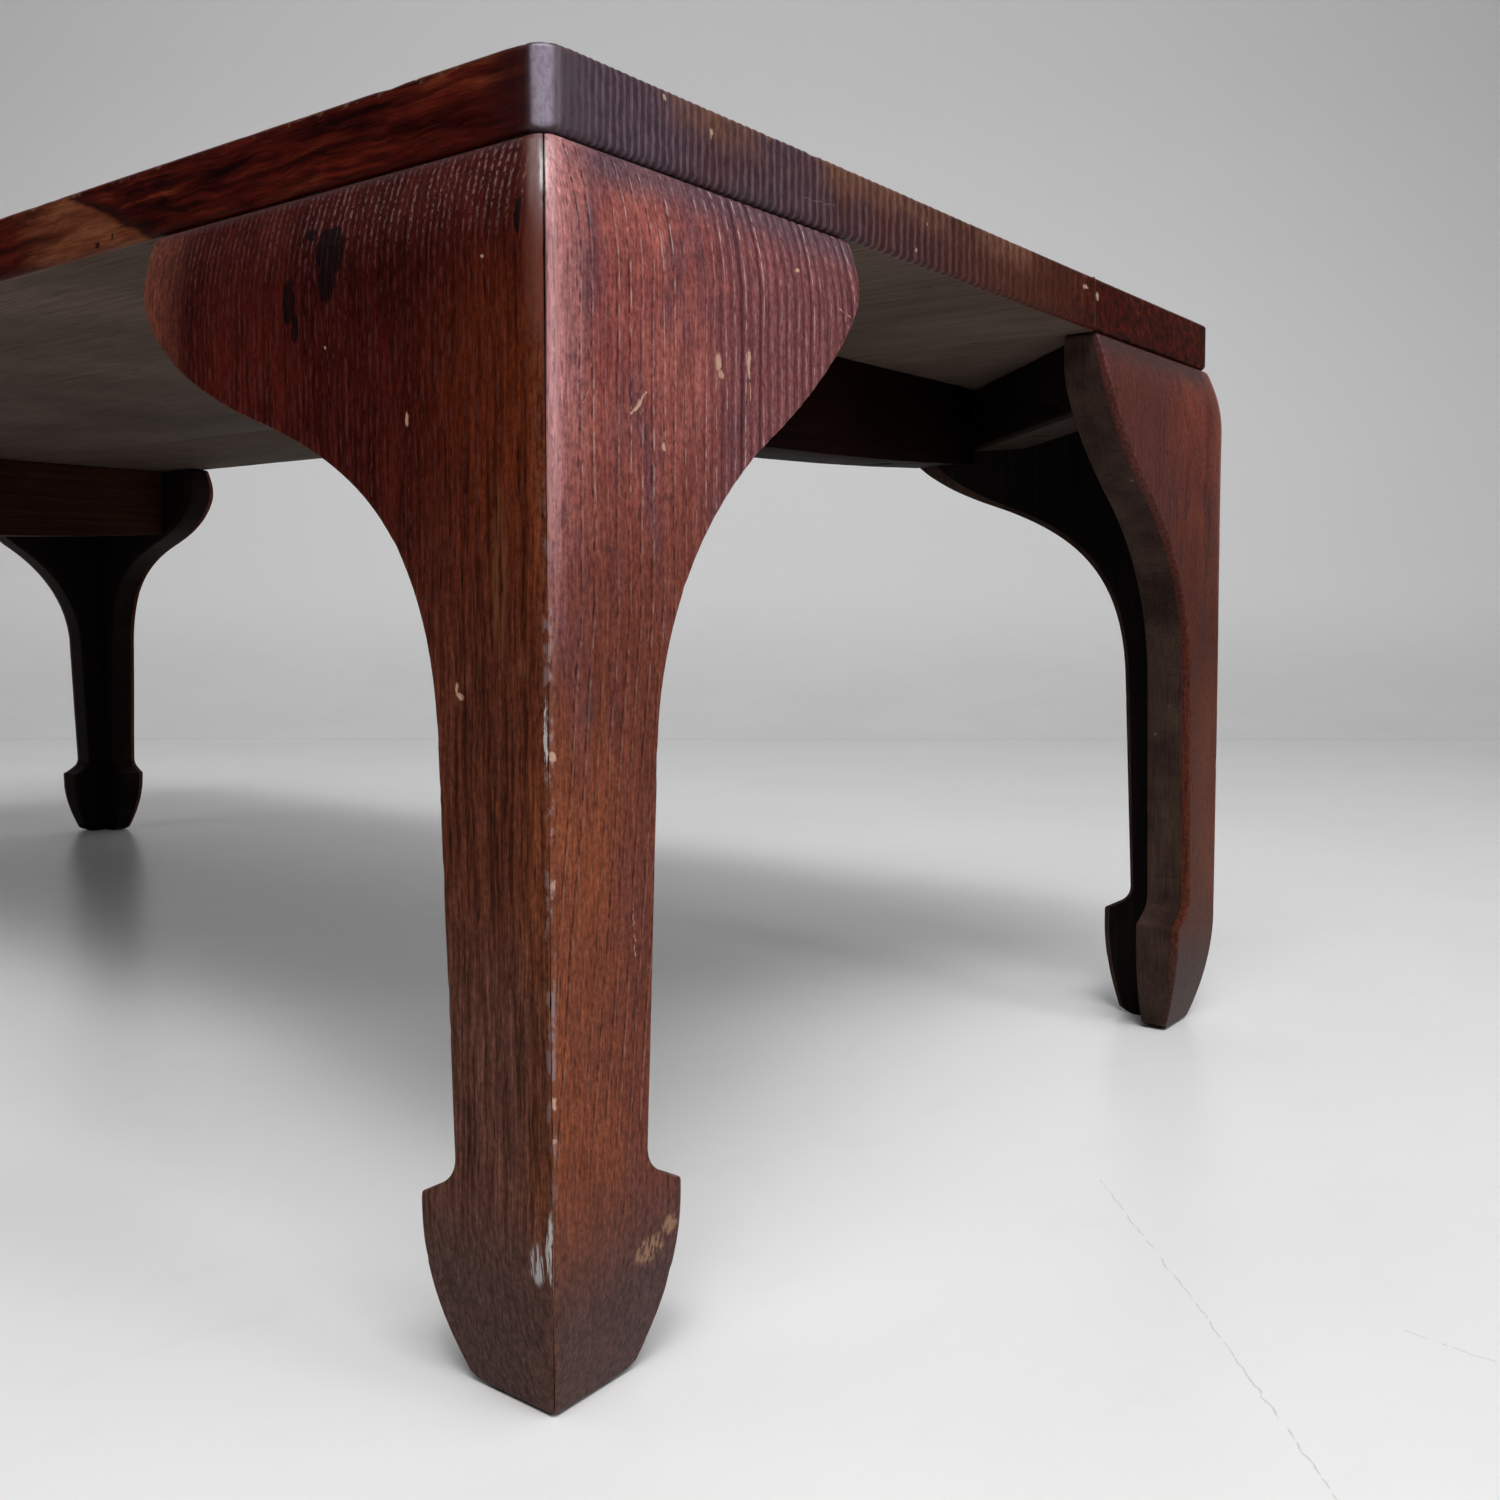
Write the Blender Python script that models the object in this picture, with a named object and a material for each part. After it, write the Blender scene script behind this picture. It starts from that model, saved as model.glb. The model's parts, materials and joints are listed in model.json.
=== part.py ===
"""Low floor table: a solid two-board top on four mitred bracket legs with hoof feet.

Metres, +Z up. The origin is on the floor under the middle of the table. X runs along the length and Y across
the width. A corner of the table has two signs: along X (right or left end) and along Y (back or front side).
On a leg board, "across" is the distance from the leg's outer corner along the face, and "deep" is the
distance in from the outer face. A leg's long board faces the long side of the table, its end board the end.
"""
import math

import bmesh
import bpy
from mathutils import Vector

# Whole table, over the outer faces of the legs
LENGTH = 1.010
WIDTH = 0.452
HEIGHT = 0.332
FIT_GAP = 0.0003

# Top: two boards joined edge to edge with a loose tongue
TOP_THICKNESS = 0.0205
TOP_INSET = 0.0055
TOP_CORNER_RADIUS = 0.010
TOP_UPPER_EASING = 0.0012
TOP_LOWER_EASING = 0.0015
NARROW_BOARD_WIDTH = 0.133
TONGUE_THICKNESS = 0.005
TONGUE_WIDTH = 0.020
TONGUE_END_MARGIN = 0.060

# Leg boards: thickness, rounded outer corner and the outer face that rolls in at the top and the foot
LEG_THICKNESS = 0.0205
LEG_CORNER_RADIUS = 0.003
TOP_ROLL_EXTRA = 0.0005
TOP_ROLL_HEIGHT = 0.0285
FOOT_ROLL = 0.0095
FOOT_ROLL_HEIGHT = 0.052

# Bracket at the top of a leg board. Drops are below the board's top edge.
NOSE_DROP = 0.0115
LONG_FLARE = 0.1695
LONG_KNEE_ACROSS = 0.112
LONG_KNEE_DROP = 0.0597
LONG_KNEE_SLOPE = 0.336
LONG_CURVE_PULLS = (0.46, 0.42, 0.42, 0.31)
END_FLARE = 0.1345
END_KNEE_ACROSS = 0.088
END_KNEE_DROP = 0.064
END_KNEE_SLOPE = 0.68
END_CURVE_PULLS = (0.41, 0.28, 0.41, 0.20)

# Shank and hoof foot of a leg board
SHANK_TOP_DROP = 0.145
SHANK_TOP_WIDTH = 0.039
SHANK_FOOT_WIDTH = 0.0345
LEDGE_ROOT_HEIGHT = 0.0578
LEDGE_DROP = 0.006
LEDGE_TIP_ROUNDING = 0.0015
FOOT_WIDTH = 0.0478
FOOT_BELLY_DROP = 0.0078
FOOT_TOE_INSET = 0.0083
FOOT_BOTTOM_INSET = 0.0138
FOOT_EASING = 0.003

# Cross battens, set back from the noses of the long boards. The two are not alike.
BATTEN_THICKNESS = 0.034
BATTEN_SETBACK_RIGHT = 0.0125
BATTEN_SETBACK_LEFT = 0.045
BATTEN_DEPTH_RIGHT = 0.0445
BATTEN_DEPTH_LEFT = 0.0585
BATTEN_BOW = 0.0065
TENON_LENGTH = 0.008
TENON_WIDTH = 0.020
TENON_HEIGHT = 0.016
TENON_DROP = 0.010

# Corner braces, set diagonally inside each leg
BRACE_THICKNESS = 0.0205
BRACE_DEPTH = 0.0315
BRACE_MARGIN = 0.001

# Hidden fixings
SPLINE_WIDTH = 0.014
SPLINE_THICKNESS = 0.003
SPLINE_BOTTOM = 0.062
SPLINE_TOP_DROP = 0.026
DOWEL_DIAMETER = 0.007
DOWEL_IN_LEG = 0.018
DOWEL_IN_TOP = 0.012
DOWEL_ACROSS = 0.070
SCREW_DIAMETER = 0.004
SCREW_HEAD_DIAMETER = 0.008
SCREW_HEAD_HEIGHT = 0.0026
SCREW_GRIP = 0.022
SCREW_IN_TOP = 0.012
SCREW_POINT = 0.004
NAIL_DIAMETER = 0.0024
NAIL_IN_LEG = 0.011
NAIL_SET = 0.003
NAIL_RISE = 0.007

# Facets of the round and curved shapes
ROUND_SIDES = 10
CORNER_STEPS = 5
LEG_CORNER_STEPS = 2
CURVE_STEPS = 9
ROLL_STEPS = 6
FLAT_ANGLE = 0.0005

# Derived places
UNDERSIDE = HEIGHT - TOP_THICKNESS
LEG_TOP = UNDERSIDE - FIT_GAP
TOP_LENGTH = LENGTH - 2 * TOP_INSET
TOP_WIDTH = WIDTH - 2 * TOP_INSET
JOINT_Y = TOP_WIDTH / 2 - NARROW_BOARD_WIDTH
TOP_ROLL = TOP_INSET + TOP_ROLL_EXTRA
DOWEL_DEEP = (TOP_ROLL + LEG_THICKNESS) / 2
SPLINE_MIDDLE = 0.6 * LEG_THICKNESS
BRACE_BOTTOM = LEG_TOP - BRACE_DEPTH
BRACE_SPAN = BRACE_THICKNESS * math.sqrt(2)

# Finishes: colour, roughness, metallic
LEG_FINISH = ((0.115, 0.030, 0.018), 0.38, 0.0)
TOP_FINISH = ((0.085, 0.032, 0.020), 0.42, 0.0)
BATTEN_FINISH = ((0.160, 0.075, 0.040), 0.60, 0.0)
BRACE_FINISH = ((0.130, 0.085, 0.055), 0.65, 0.0)
BARE_WOOD_FINISH = ((0.420, 0.270, 0.150), 0.60, 0.0)
IRON_FINISH = ((0.110, 0.100, 0.095), 0.55, 0.9)

CORNERS = {"front_right": (1, -1), "back_right": (1, 1), "front_left": (-1, -1), "back_left": (-1, 1)}
ENDS = {"right": 1, "left": -1}
BATTEN_DEPTH = {1: BATTEN_DEPTH_RIGHT, -1: BATTEN_DEPTH_LEFT}
BATTEN_INNER = {1: LONG_FLARE - BATTEN_SETBACK_RIGHT, -1: LONG_FLARE - BATTEN_SETBACK_LEFT}


def finish_material(name, finish):
    """Principled material of one piece."""
    colour, roughness, metallic = finish
    material = bpy.data.materials.new(name + "_finish")
    material.use_nodes = True
    shader = material.node_tree.nodes["Principled BSDF"]
    shader.inputs["Base Color"].default_value = (*colour, 1.0)
    shader.inputs["Roughness"].default_value = roughness
    shader.inputs["Metallic"].default_value = metallic
    return material


def add_object(name, shells, finish=None, parent=None, location=(0, 0, 0)):
    """One object from closed shells of vertices and faces. Flat areas become one face."""
    mesh = bpy.data.meshes.new(name)
    build = bmesh.new()
    for vertices, faces in shells:
        made = [build.verts.new(v) for v in vertices]
        for face in faces:
            build.faces.new([made[i] for i in face])
    bmesh.ops.recalc_face_normals(build, faces=build.faces[:])
    bmesh.ops.dissolve_limit(build, angle_limit=FLAT_ANGLE, verts=build.verts[:], edges=build.edges[:])
    build.to_mesh(mesh)
    build.free()
    mesh.shade_smooth()
    mesh.set_sharp_from_angle(angle=math.radians(35))
    piece = bpy.data.objects.new(name, mesh)
    piece.parent = parent
    piece.location = location
    bpy.context.scene.collection.objects.link(piece)
    if finish:
        mesh.materials.append(finish_material(name, finish))
    return piece


def add_cutter(name, shells, parent=None):
    """Wire object that only cuts other pieces or joins them."""
    cutter = add_object(name, shells, parent=parent)
    cutter.hide_render = True
    cutter.display_type = "WIRE"
    return cutter


def combine(piece, operation, *tools):
    """Boolean of a piece with each of the tools."""
    for tool in tools:
        modifier = piece.modifiers.new(tool.name, "BOOLEAN")
        modifier.operation = operation
        modifier.solver = "EXACT"
        modifier.object = tool


def loft(rings):
    """Closed shell through rings that have the same number of points."""
    count = len(rings[0])
    vertices = [point for ring in rings for point in ring]
    faces = []
    for level in range(len(rings) - 1):
        low = level * count
        high = low + count
        for i in range(count):
            j = (i + 1) % count
            faces.append((low + i, low + j, high + j, high + i))
    faces.append(tuple(reversed(range(count))))
    faces.append(tuple(range(len(vertices) - count, len(vertices))))
    return vertices, faces


def prism(outline, travel):
    """Closed shell of a flat outline pushed along the travel vector."""
    base = [Vector(point) for point in outline]
    return loft([base, [point + Vector(travel) for point in base]])


def box(low, high):
    """Closed shell of a box between two opposite corners."""
    plan = ((low[0], low[1]), (high[0], low[1]), (high[0], high[1]), (low[0], high[1]))
    return prism([(x, y, low[2]) for x, y in plan], (0, 0, high[2] - low[2]))


def turned(profile, base, axis):
    """Closed shell turned about an axis. The profile lists (distance along the axis, radius)."""
    axis = Vector(axis).normalized()
    side = axis.orthogonal().normalized()
    other = axis.cross(side)
    rings = []
    for along, radius in profile:
        ring = []
        for i in range(ROUND_SIDES):
            turn = 2 * math.pi * i / ROUND_SIDES
            spoke = side * math.cos(turn) + other * math.sin(turn)
            ring.append(Vector(base) + axis * along + spoke * radius)
        rings.append(ring)
    return loft(rings)


def bezier(*corners):
    """Points along a cubic curve, without its first point."""
    points = []
    for step in range(1, CURVE_STEPS + 1):
        t = step / CURVE_STEPS
        weights = ((1 - t) ** 3, 3 * t * (1 - t) ** 2, 3 * t * t * (1 - t), t ** 3)
        points.append(tuple(sum(w * c[k] for w, c in zip(weights, corners)) for k in (0, 1)))
    return points


def face_inset(height):
    """How far a leg's outer face stands in from its widest plane at a height."""
    top = max(0.0, 1 - (LEG_TOP - height) / TOP_ROLL_HEIGHT)
    foot = max(0.0, 1 - height / FOOT_ROLL_HEIGHT)
    return TOP_ROLL * top ** 2 + FOOT_ROLL * foot ** 2


def foot_edge():
    """Sawn edge of the foot, from the floor up to the root of its ledge, as (across, height)."""
    tip = LEDGE_ROOT_HEIGHT - LEDGE_DROP
    toe = (FOOT_WIDTH - FOOT_TOE_INSET, FOOT_EASING)
    belly = (FOOT_WIDTH, tip - FOOT_BELLY_DROP)
    toe_handle = (toe[0] + FOOT_EASING, 4 * FOOT_EASING)
    belly_handle = (FOOT_WIDTH, 0.6 * belly[1])
    points = [(FOOT_WIDTH - FOOT_BOTTOM_INSET, 0.0), toe]
    points += bezier(toe, toe_handle, belly_handle, belly)
    points.append((FOOT_WIDTH, tip - LEDGE_TIP_ROUNDING))
    points.append((FOOT_WIDTH - LEDGE_TIP_ROUNDING, tip))
    points.append((SHANK_FOOT_WIDTH, LEDGE_ROOT_HEIGHT))
    return points


def bracket_edge(flare, knee, knee_slope, pulls):
    """Sawn edge of the bracket, from the top of the shank up. The pulls set the handles of its curves."""
    shank = Vector((SHANK_TOP_WIDTH, LEG_TOP - SHANK_TOP_DROP))
    nose = Vector((flare, LEG_TOP - NOSE_DROP))
    taper = (shank - Vector((SHANK_FOOT_WIDTH, LEDGE_ROOT_HEIGHT))).normalized()
    lean = Vector((1.0, knee_slope)).normalized()
    lower = (knee - shank).length
    upper = (nose - knee).length
    points = [tuple(shank)]
    points += bezier(shank, shank + taper * pulls[0] * lower, knee - lean * pulls[1] * lower, knee)
    points += bezier(knee, knee + lean * pulls[2] * upper, nose - Vector((0, pulls[3] * upper)), nose)
    points.append((flare, LEG_TOP))
    return points


def sawn_edge(kind):
    """Whole sawn edge of a long or an end board, from the floor up, as (across, height)."""
    if kind == "long":
        knee = Vector((LONG_KNEE_ACROSS, LEG_TOP - LONG_KNEE_DROP))
        return foot_edge() + bracket_edge(LONG_FLARE, knee, LONG_KNEE_SLOPE, LONG_CURVE_PULLS)
    knee = Vector((END_KNEE_ACROSS, LEG_TOP - END_KNEE_DROP))
    return foot_edge() + bracket_edge(END_FLARE, knee, END_KNEE_SLOPE, END_CURVE_PULLS)


def across_at(outline, height):
    """Width of a leg board at a height, read from its sawn edge."""
    for (low_across, low), (high_across, high) in zip(outline, outline[1:]):
        if low <= height <= high:
            return low_across + (height - low) / (high - low) * (high_across - low_across)
    return outline[-1][0]


def board_levels(outline):
    """Heights at which a leg board's section is drawn."""
    heights = {height for _, height in outline}
    for step in range(1, ROLL_STEPS + 1):
        heights.add(FOOT_ROLL_HEIGHT * step / ROLL_STEPS)
        heights.add(LEG_TOP - TOP_ROLL_HEIGHT * step / ROLL_STEPS)
    spaced = []
    for height in sorted(heights):
        if not spaced or height - spaced[-1] > FIT_GAP:
            spaced.append(height)
    spaced[-1] = LEG_TOP
    return spaced


def board_section(outline, height):
    """Plan section of a leg board as (across, deep), with its mitre face drawn back by half the gap."""
    inset = face_inset(height)
    width = across_at(outline, height)
    mitre_gap = FIT_GAP / math.sqrt(2)
    ring = []
    for step in range(LEG_CORNER_STEPS + 1):
        turn = math.radians(225 + 45 * step / LEG_CORNER_STEPS)
        across = inset + LEG_CORNER_RADIUS * (1 + math.cos(turn))
        deep = inset + LEG_CORNER_RADIUS * (1 + math.sin(turn))
        ring.append((max(across, deep + mitre_gap), deep))
    ring.append((width, inset))
    ring.append((width, LEG_THICKNESS))
    ring.append((LEG_THICKNESS + mitre_gap, LEG_THICKNESS))
    return ring


def on_board(corner, kind, across, deep, height):
    """Point on a leg board, measured from the leg's outer corner on the floor."""
    from_end, from_side = (across, deep) if kind == "long" else (deep, across)
    return Vector((-corner[0] * from_end, -corner[1] * from_side, height))


def leg_board_shell(corner, kind):
    """One mitred leg board with its bracket, shank and foot."""
    outline = sawn_edge(kind)
    rings = []
    for height in board_levels(outline):
        section = board_section(outline, height)
        rings.append([on_board(corner, kind, across, deep, height) for across, deep in section])
    return loft(rings)


def spline_shell(corner, clearance):
    """Loose spline across a leg's mitre, grown by a clearance."""
    width = (SPLINE_WIDTH / 2 + clearance) / math.sqrt(2)
    thick = (SPLINE_THICKNESS / 2 + clearance) / math.sqrt(2)
    low = SPLINE_BOTTOM - clearance
    high = LEG_TOP - SPLINE_TOP_DROP + clearance
    outline = []
    for across, deep in ((thick + width, thick - width), (thick - width, thick + width),
                         (-thick - width, width - thick), (width - thick, -thick - width)):
        outline.append(on_board(corner, "long", SPLINE_MIDDLE + across, SPLINE_MIDDLE + deep, low))
    return prism(outline, (0, 0, high - low))


def dowel_profile(clearance):
    """Profile of a dowel, from the top edge of its leg board, grown by a clearance."""
    radius = DOWEL_DIAMETER / 2 + clearance
    return [(-DOWEL_IN_LEG - clearance, radius), (FIT_GAP + DOWEL_IN_TOP + clearance, radius)]


def brace_edge(corner):
    """How far a brace's inner edge reaches along the leg boards: up to the end bracket or the batten."""
    on_end_board = across_at(sawn_edge("end"), BRACE_BOTTOM)
    return min(on_end_board, BATTEN_INNER[corner[0]] - BATTEN_THICKNESS) - BRACE_MARGIN


def brace_shell(corner):
    """Diagonal brace across a leg's inner corner, its ends cut to the inner faces of the boards."""
    seat = LEG_THICKNESS + FIT_GAP
    inner = brace_edge(corner)
    outer = inner - BRACE_SPAN
    outline = []
    for across, deep in ((seat, inner), (inner, seat), (outer, seat), (seat, outer)):
        outline.append(on_board(corner, "long", across, deep, BRACE_BOTTOM))
    return prism(outline, (0, 0, BRACE_DEPTH))


def nail_place(corner, kind):
    """Head and tip of the nail through a brace's end into a leg board."""
    across = brace_edge(corner) - BRACE_SPAN / 2
    height = BRACE_BOTTOM + NAIL_RISE
    head = on_board(corner, kind, across, LEG_THICKNESS + BRACE_SPAN / 2 - NAIL_SET, height)
    tip = on_board(corner, kind, across, LEG_THICKNESS - NAIL_IN_LEG, height)
    return head, tip


def nail_bore(corner, kind):
    """Hole for a nail, open on the brace's inner face."""
    head, tip = nail_place(corner, kind)
    radius = NAIL_DIAMETER / 2 + FIT_GAP
    profile = [(-BRACE_THICKNESS, radius), ((tip - head).length + FIT_GAP, radius)]
    return turned(profile, head, tip - head)


def screw_profile():
    """Profile of a countersunk wood screw, point up, from the seat of its head."""
    shank = SCREW_DIAMETER / 2
    length = SCREW_GRIP + SCREW_IN_TOP
    head = (-SCREW_HEAD_HEIGHT, SCREW_HEAD_DIAMETER / 2)
    return [head, (0, shank), (length - SCREW_POINT, shank), (length, shank / 4)]


def screw_bore(place, depth):
    """Hole for a screw: counterbored up through a piece of the given depth, then into the top."""
    shank = SCREW_DIAMETER / 2 + FIT_GAP
    head = SCREW_HEAD_DIAMETER / 2 + FIT_GAP
    mouth = SCREW_GRIP - depth - SCREW_HEAD_DIAMETER
    profile = [(mouth, head), (-SCREW_HEAD_HEIGHT, head), (FIT_GAP, shank),
               (SCREW_GRIP + SCREW_IN_TOP + FIT_GAP, shank)]
    return turned(profile, place, (0, 0, 1))


def brace_screw_place(corner):
    """Seat of the screw through the middle of a brace."""
    middle = (brace_edge(corner) + LEG_THICKNESS - BRACE_SPAN / 2) / 2
    return on_board(corner, "long", middle, middle, UNDERSIDE - SCREW_GRIP)


def batten_x(end):
    """Place of a batten's middle along the table."""
    return end * (LENGTH / 2 - BATTEN_INNER[end] + BATTEN_THICKNESS / 2)


def batten_screw_places(end):
    """Seats of a batten's screws: two under the wide top board and one under the narrow board."""
    x = batten_x(end)
    back = WIDTH / 2 - LEG_THICKNESS
    wide = JOINT_Y + back
    rows = {"front": wide / 4 - back, "middle": wide * 3 / 4 - back, "back": (JOINT_Y + back) / 2}
    return {row: Vector((x, y, UNDERSIDE - SCREW_GRIP)) for row, y in rows.items()}


def top_outline(front, back, inset, joint_side):
    """Plan outline of a top board between two edges. The edge in the joint keeps its square corners."""
    half = TOP_LENGTH / 2 - inset
    radius = TOP_CORNER_RADIUS - inset
    points = []
    for side, y, inward, turns in (("front", front, 1, (180, 270)), ("back", back, -1, (0, 90))):
        if side == joint_side:
            points += [(-inward * half, y), (inward * half, y)]
            continue
        for start in turns:
            middle_x = (half - radius) * (1 if start in (270, 0) else -1)
            middle_y = y + inward * (inset + radius)
            for step in range(CORNER_STEPS + 1):
                turn = math.radians(start + 90 * step / CORNER_STEPS)
                points.append((middle_x + radius * math.cos(turn), middle_y + radius * math.sin(turn)))
    return points


def top_board_shell(front, back, joint_side):
    """One board of the top, with eased outer edges."""
    levels = ((UNDERSIDE, TOP_LOWER_EASING), (UNDERSIDE + TOP_LOWER_EASING, 0.0),
              (HEIGHT - TOP_UPPER_EASING, 0.0), (HEIGHT, TOP_UPPER_EASING))
    rings = []
    for height, inset in levels:
        rings.append([(x, y, height) for x, y in top_outline(front, back, inset, joint_side)])
    return loft(rings)


def tongue_shell(clearance):
    """Loose tongue in the joint of the top boards, grown by a clearance."""
    middle = (UNDERSIDE + HEIGHT) / 2
    length = TOP_LENGTH / 2 - TONGUE_END_MARGIN + clearance
    width = TONGUE_WIDTH / 2 + clearance
    rise = TONGUE_THICKNESS / 2 + clearance
    return box((-length, JOINT_Y - width, middle - rise), (length, JOINT_Y + width, middle + rise))


def batten_shell(end):
    """Body of a cross batten: flat against the underside, with its lower edge bowed downwards."""
    half = WIDTH / 2 - LEG_THICKNESS - FIT_GAP
    start = batten_x(end) - BATTEN_THICKNESS / 2
    bottom = LEG_TOP - BATTEN_DEPTH[end]
    outline = [(start, half, LEG_TOP), (start, -half, LEG_TOP)]
    for step in range(2 * CURVE_STEPS + 1):
        share = step / CURVE_STEPS - 1
        outline.append((start, half * share, bottom + BATTEN_BOW * share ** 2))
    return prism(outline, (BATTEN_THICKNESS, 0, 0))


def tenon_shells(end, clearance):
    """Stub tenons at both ends of a batten, grown by a clearance."""
    middle = batten_x(end)
    width = TENON_WIDTH / 2 + clearance
    inner_face = WIDTH / 2 - LEG_THICKNESS
    root = inner_face - TENON_LENGTH / 2
    tip = inner_face + TENON_LENGTH + clearance
    high = LEG_TOP - TENON_DROP + clearance
    low = LEG_TOP - TENON_DROP - TENON_HEIGHT - clearance
    shells = []
    for near, far in ((-tip, -root), (root, tip)):
        shells.append(box((middle - width, near, low), (middle + width, far, high)))
    return shells


def make_batten(name, end):
    """A cross batten with its tenons and screws. Returns its screw holes and its mortises."""
    places = batten_screw_places(end)
    batten = add_object(f"batten_{name}", [batten_shell(end)], BATTEN_FINISH)
    tenons = add_cutter(f"batten_{name}_tenons", tenon_shells(end, 0))
    mortises = add_cutter(f"batten_{name}_mortises", tenon_shells(end, FIT_GAP))
    bore_shells = [screw_bore(place, BATTEN_DEPTH[end]) for place in places.values()]
    bores = add_cutter(f"batten_{name}_bores", bore_shells)
    combine(batten, "UNION", tenons)
    combine(batten, "DIFFERENCE", bores)
    for row, place in places.items():
        shell = turned(screw_profile(), (0, 0, 0), (0, 0, 1))
        add_object(f"batten_{name}_screw_{row}", [shell], IRON_FINISH, location=place)
    return bores, mortises


def make_leg(name, corner, mortises):
    """A leg with its two boards, spline, brace and fixings. Returns the holes that it shares with the top."""
    leg = bpy.data.objects.new(f"{name}_leg", None)
    leg.location = (corner[0] * LENGTH / 2, corner[1] * WIDTH / 2, 0)
    bpy.context.scene.collection.objects.link(leg)

    kinds = ("long", "end")
    screw = brace_screw_place(corner)
    dowels = {kind: on_board(corner, kind, DOWEL_ACROSS, DOWEL_DEEP, LEG_TOP) for kind in kinds}
    seat_shells = [spline_shell(corner, FIT_GAP), screw_bore(screw, BRACE_DEPTH)]
    for kind in kinds:
        seat_shells.append(turned(dowel_profile(FIT_GAP), dowels[kind], (0, 0, 1)))
        seat_shells.append(nail_bore(corner, kind))
    seats = add_cutter(f"{name}_leg_seats", seat_shells, leg)

    for kind in kinds:
        board = add_object(f"{name}_leg_{kind}_board", [leg_board_shell(corner, kind)], LEG_FINISH, leg)
        combine(board, "DIFFERENCE", seats)
        if kind == "long":
            combine(board, "DIFFERENCE", mortises)
        dowel = turned(dowel_profile(0), (0, 0, 0), (0, 0, 1))
        add_object(f"{name}_leg_{kind}_dowel", [dowel], BARE_WOOD_FINISH, leg, dowels[kind])
        head, tip = nail_place(corner, kind)
        nail_profile = [(0, NAIL_DIAMETER / 2), ((tip - head).length, NAIL_DIAMETER / 2)]
        nail = turned(nail_profile, (0, 0, 0), tip - head)
        add_object(f"{name}_brace_{kind}_nail", [nail], IRON_FINISH, leg, head)

    add_object(f"{name}_leg_spline", [spline_shell(corner, 0)], BARE_WOOD_FINISH, leg)
    brace = add_object(f"{name}_corner_brace", [brace_shell(corner)], BRACE_FINISH, leg)
    combine(brace, "DIFFERENCE", seats)
    brace_screw = turned(screw_profile(), (0, 0, 0), (0, 0, 1))
    add_object(f"{name}_brace_screw", [brace_screw], IRON_FINISH, leg, screw)
    return seats


def build_table():
    """Make every piece of the table."""
    for old in list(bpy.data.objects):
        bpy.data.objects.remove(old, do_unlink=True)

    holes = [add_cutter("tongue_seat", [tongue_shell(FIT_GAP)])]
    mortises = {}
    for name, end in ENDS.items():
        bores, mortises[end] = make_batten(name, end)
        holes.append(bores)
    for name, corner in CORNERS.items():
        holes.append(make_leg(name, corner, mortises[corner[0]]))

    wide = top_board_shell(-TOP_WIDTH / 2, JOINT_Y - FIT_GAP / 2, "back")
    narrow = top_board_shell(JOINT_Y + FIT_GAP / 2, TOP_WIDTH / 2, "front")
    for name, shell in (("top_board_wide", wide), ("top_board_narrow", narrow)):
        combine(add_object(name, [shell], TOP_FINISH), "DIFFERENCE", *holes)
    add_object("top_joint_tongue", [tongue_shell(0)], BARE_WOOD_FINISH)


build_table()
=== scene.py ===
# %% [markdown]
# # A low floor table
#
# The table is a solid wooden top on four bracket legs. Each leg is two boards mitred at the corner, with a
# hoof at the foot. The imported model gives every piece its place. This script dresses those pieces: it draws
# finer boards with worn arrises, gives every wood its own grain, and sets up a small photo studio.

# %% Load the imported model
import json
import math

import bmesh
import bpy
import numpy as np
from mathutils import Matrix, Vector

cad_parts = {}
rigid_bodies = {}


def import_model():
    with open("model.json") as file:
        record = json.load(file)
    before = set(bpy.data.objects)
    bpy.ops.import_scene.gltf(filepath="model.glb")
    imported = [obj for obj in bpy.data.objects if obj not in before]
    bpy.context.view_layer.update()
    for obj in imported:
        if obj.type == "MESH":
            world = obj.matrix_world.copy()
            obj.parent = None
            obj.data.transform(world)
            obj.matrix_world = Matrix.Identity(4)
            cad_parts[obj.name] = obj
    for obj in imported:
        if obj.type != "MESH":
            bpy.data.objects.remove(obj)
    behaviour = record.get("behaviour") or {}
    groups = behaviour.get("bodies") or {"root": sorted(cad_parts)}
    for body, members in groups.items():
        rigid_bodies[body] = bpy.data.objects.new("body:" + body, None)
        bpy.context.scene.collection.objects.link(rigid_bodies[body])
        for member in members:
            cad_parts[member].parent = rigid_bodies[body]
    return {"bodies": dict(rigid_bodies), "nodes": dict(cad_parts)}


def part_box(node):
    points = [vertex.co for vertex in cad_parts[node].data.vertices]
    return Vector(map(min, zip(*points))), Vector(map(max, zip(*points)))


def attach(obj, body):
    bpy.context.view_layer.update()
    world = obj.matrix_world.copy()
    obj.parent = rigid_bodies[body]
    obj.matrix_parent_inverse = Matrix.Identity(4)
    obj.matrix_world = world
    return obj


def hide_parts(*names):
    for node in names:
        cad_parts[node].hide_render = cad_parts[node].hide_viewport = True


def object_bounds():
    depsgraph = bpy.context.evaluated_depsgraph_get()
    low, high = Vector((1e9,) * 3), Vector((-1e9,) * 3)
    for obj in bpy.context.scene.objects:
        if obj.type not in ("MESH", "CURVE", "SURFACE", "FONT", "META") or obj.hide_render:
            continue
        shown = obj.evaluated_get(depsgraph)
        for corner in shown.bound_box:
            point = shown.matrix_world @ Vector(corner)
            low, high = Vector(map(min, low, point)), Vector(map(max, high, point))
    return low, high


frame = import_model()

for leftover in list(bpy.context.scene.objects):
    if leftover.name not in frame["nodes"] and leftover not in frame["bodies"].values():
        bpy.data.objects.remove(leftover, do_unlink=True)

cad_low, cad_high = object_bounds()
print("the packed table has", len(frame["nodes"]), "pieces; its size is", tuple(cad_high - cad_low))

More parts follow.
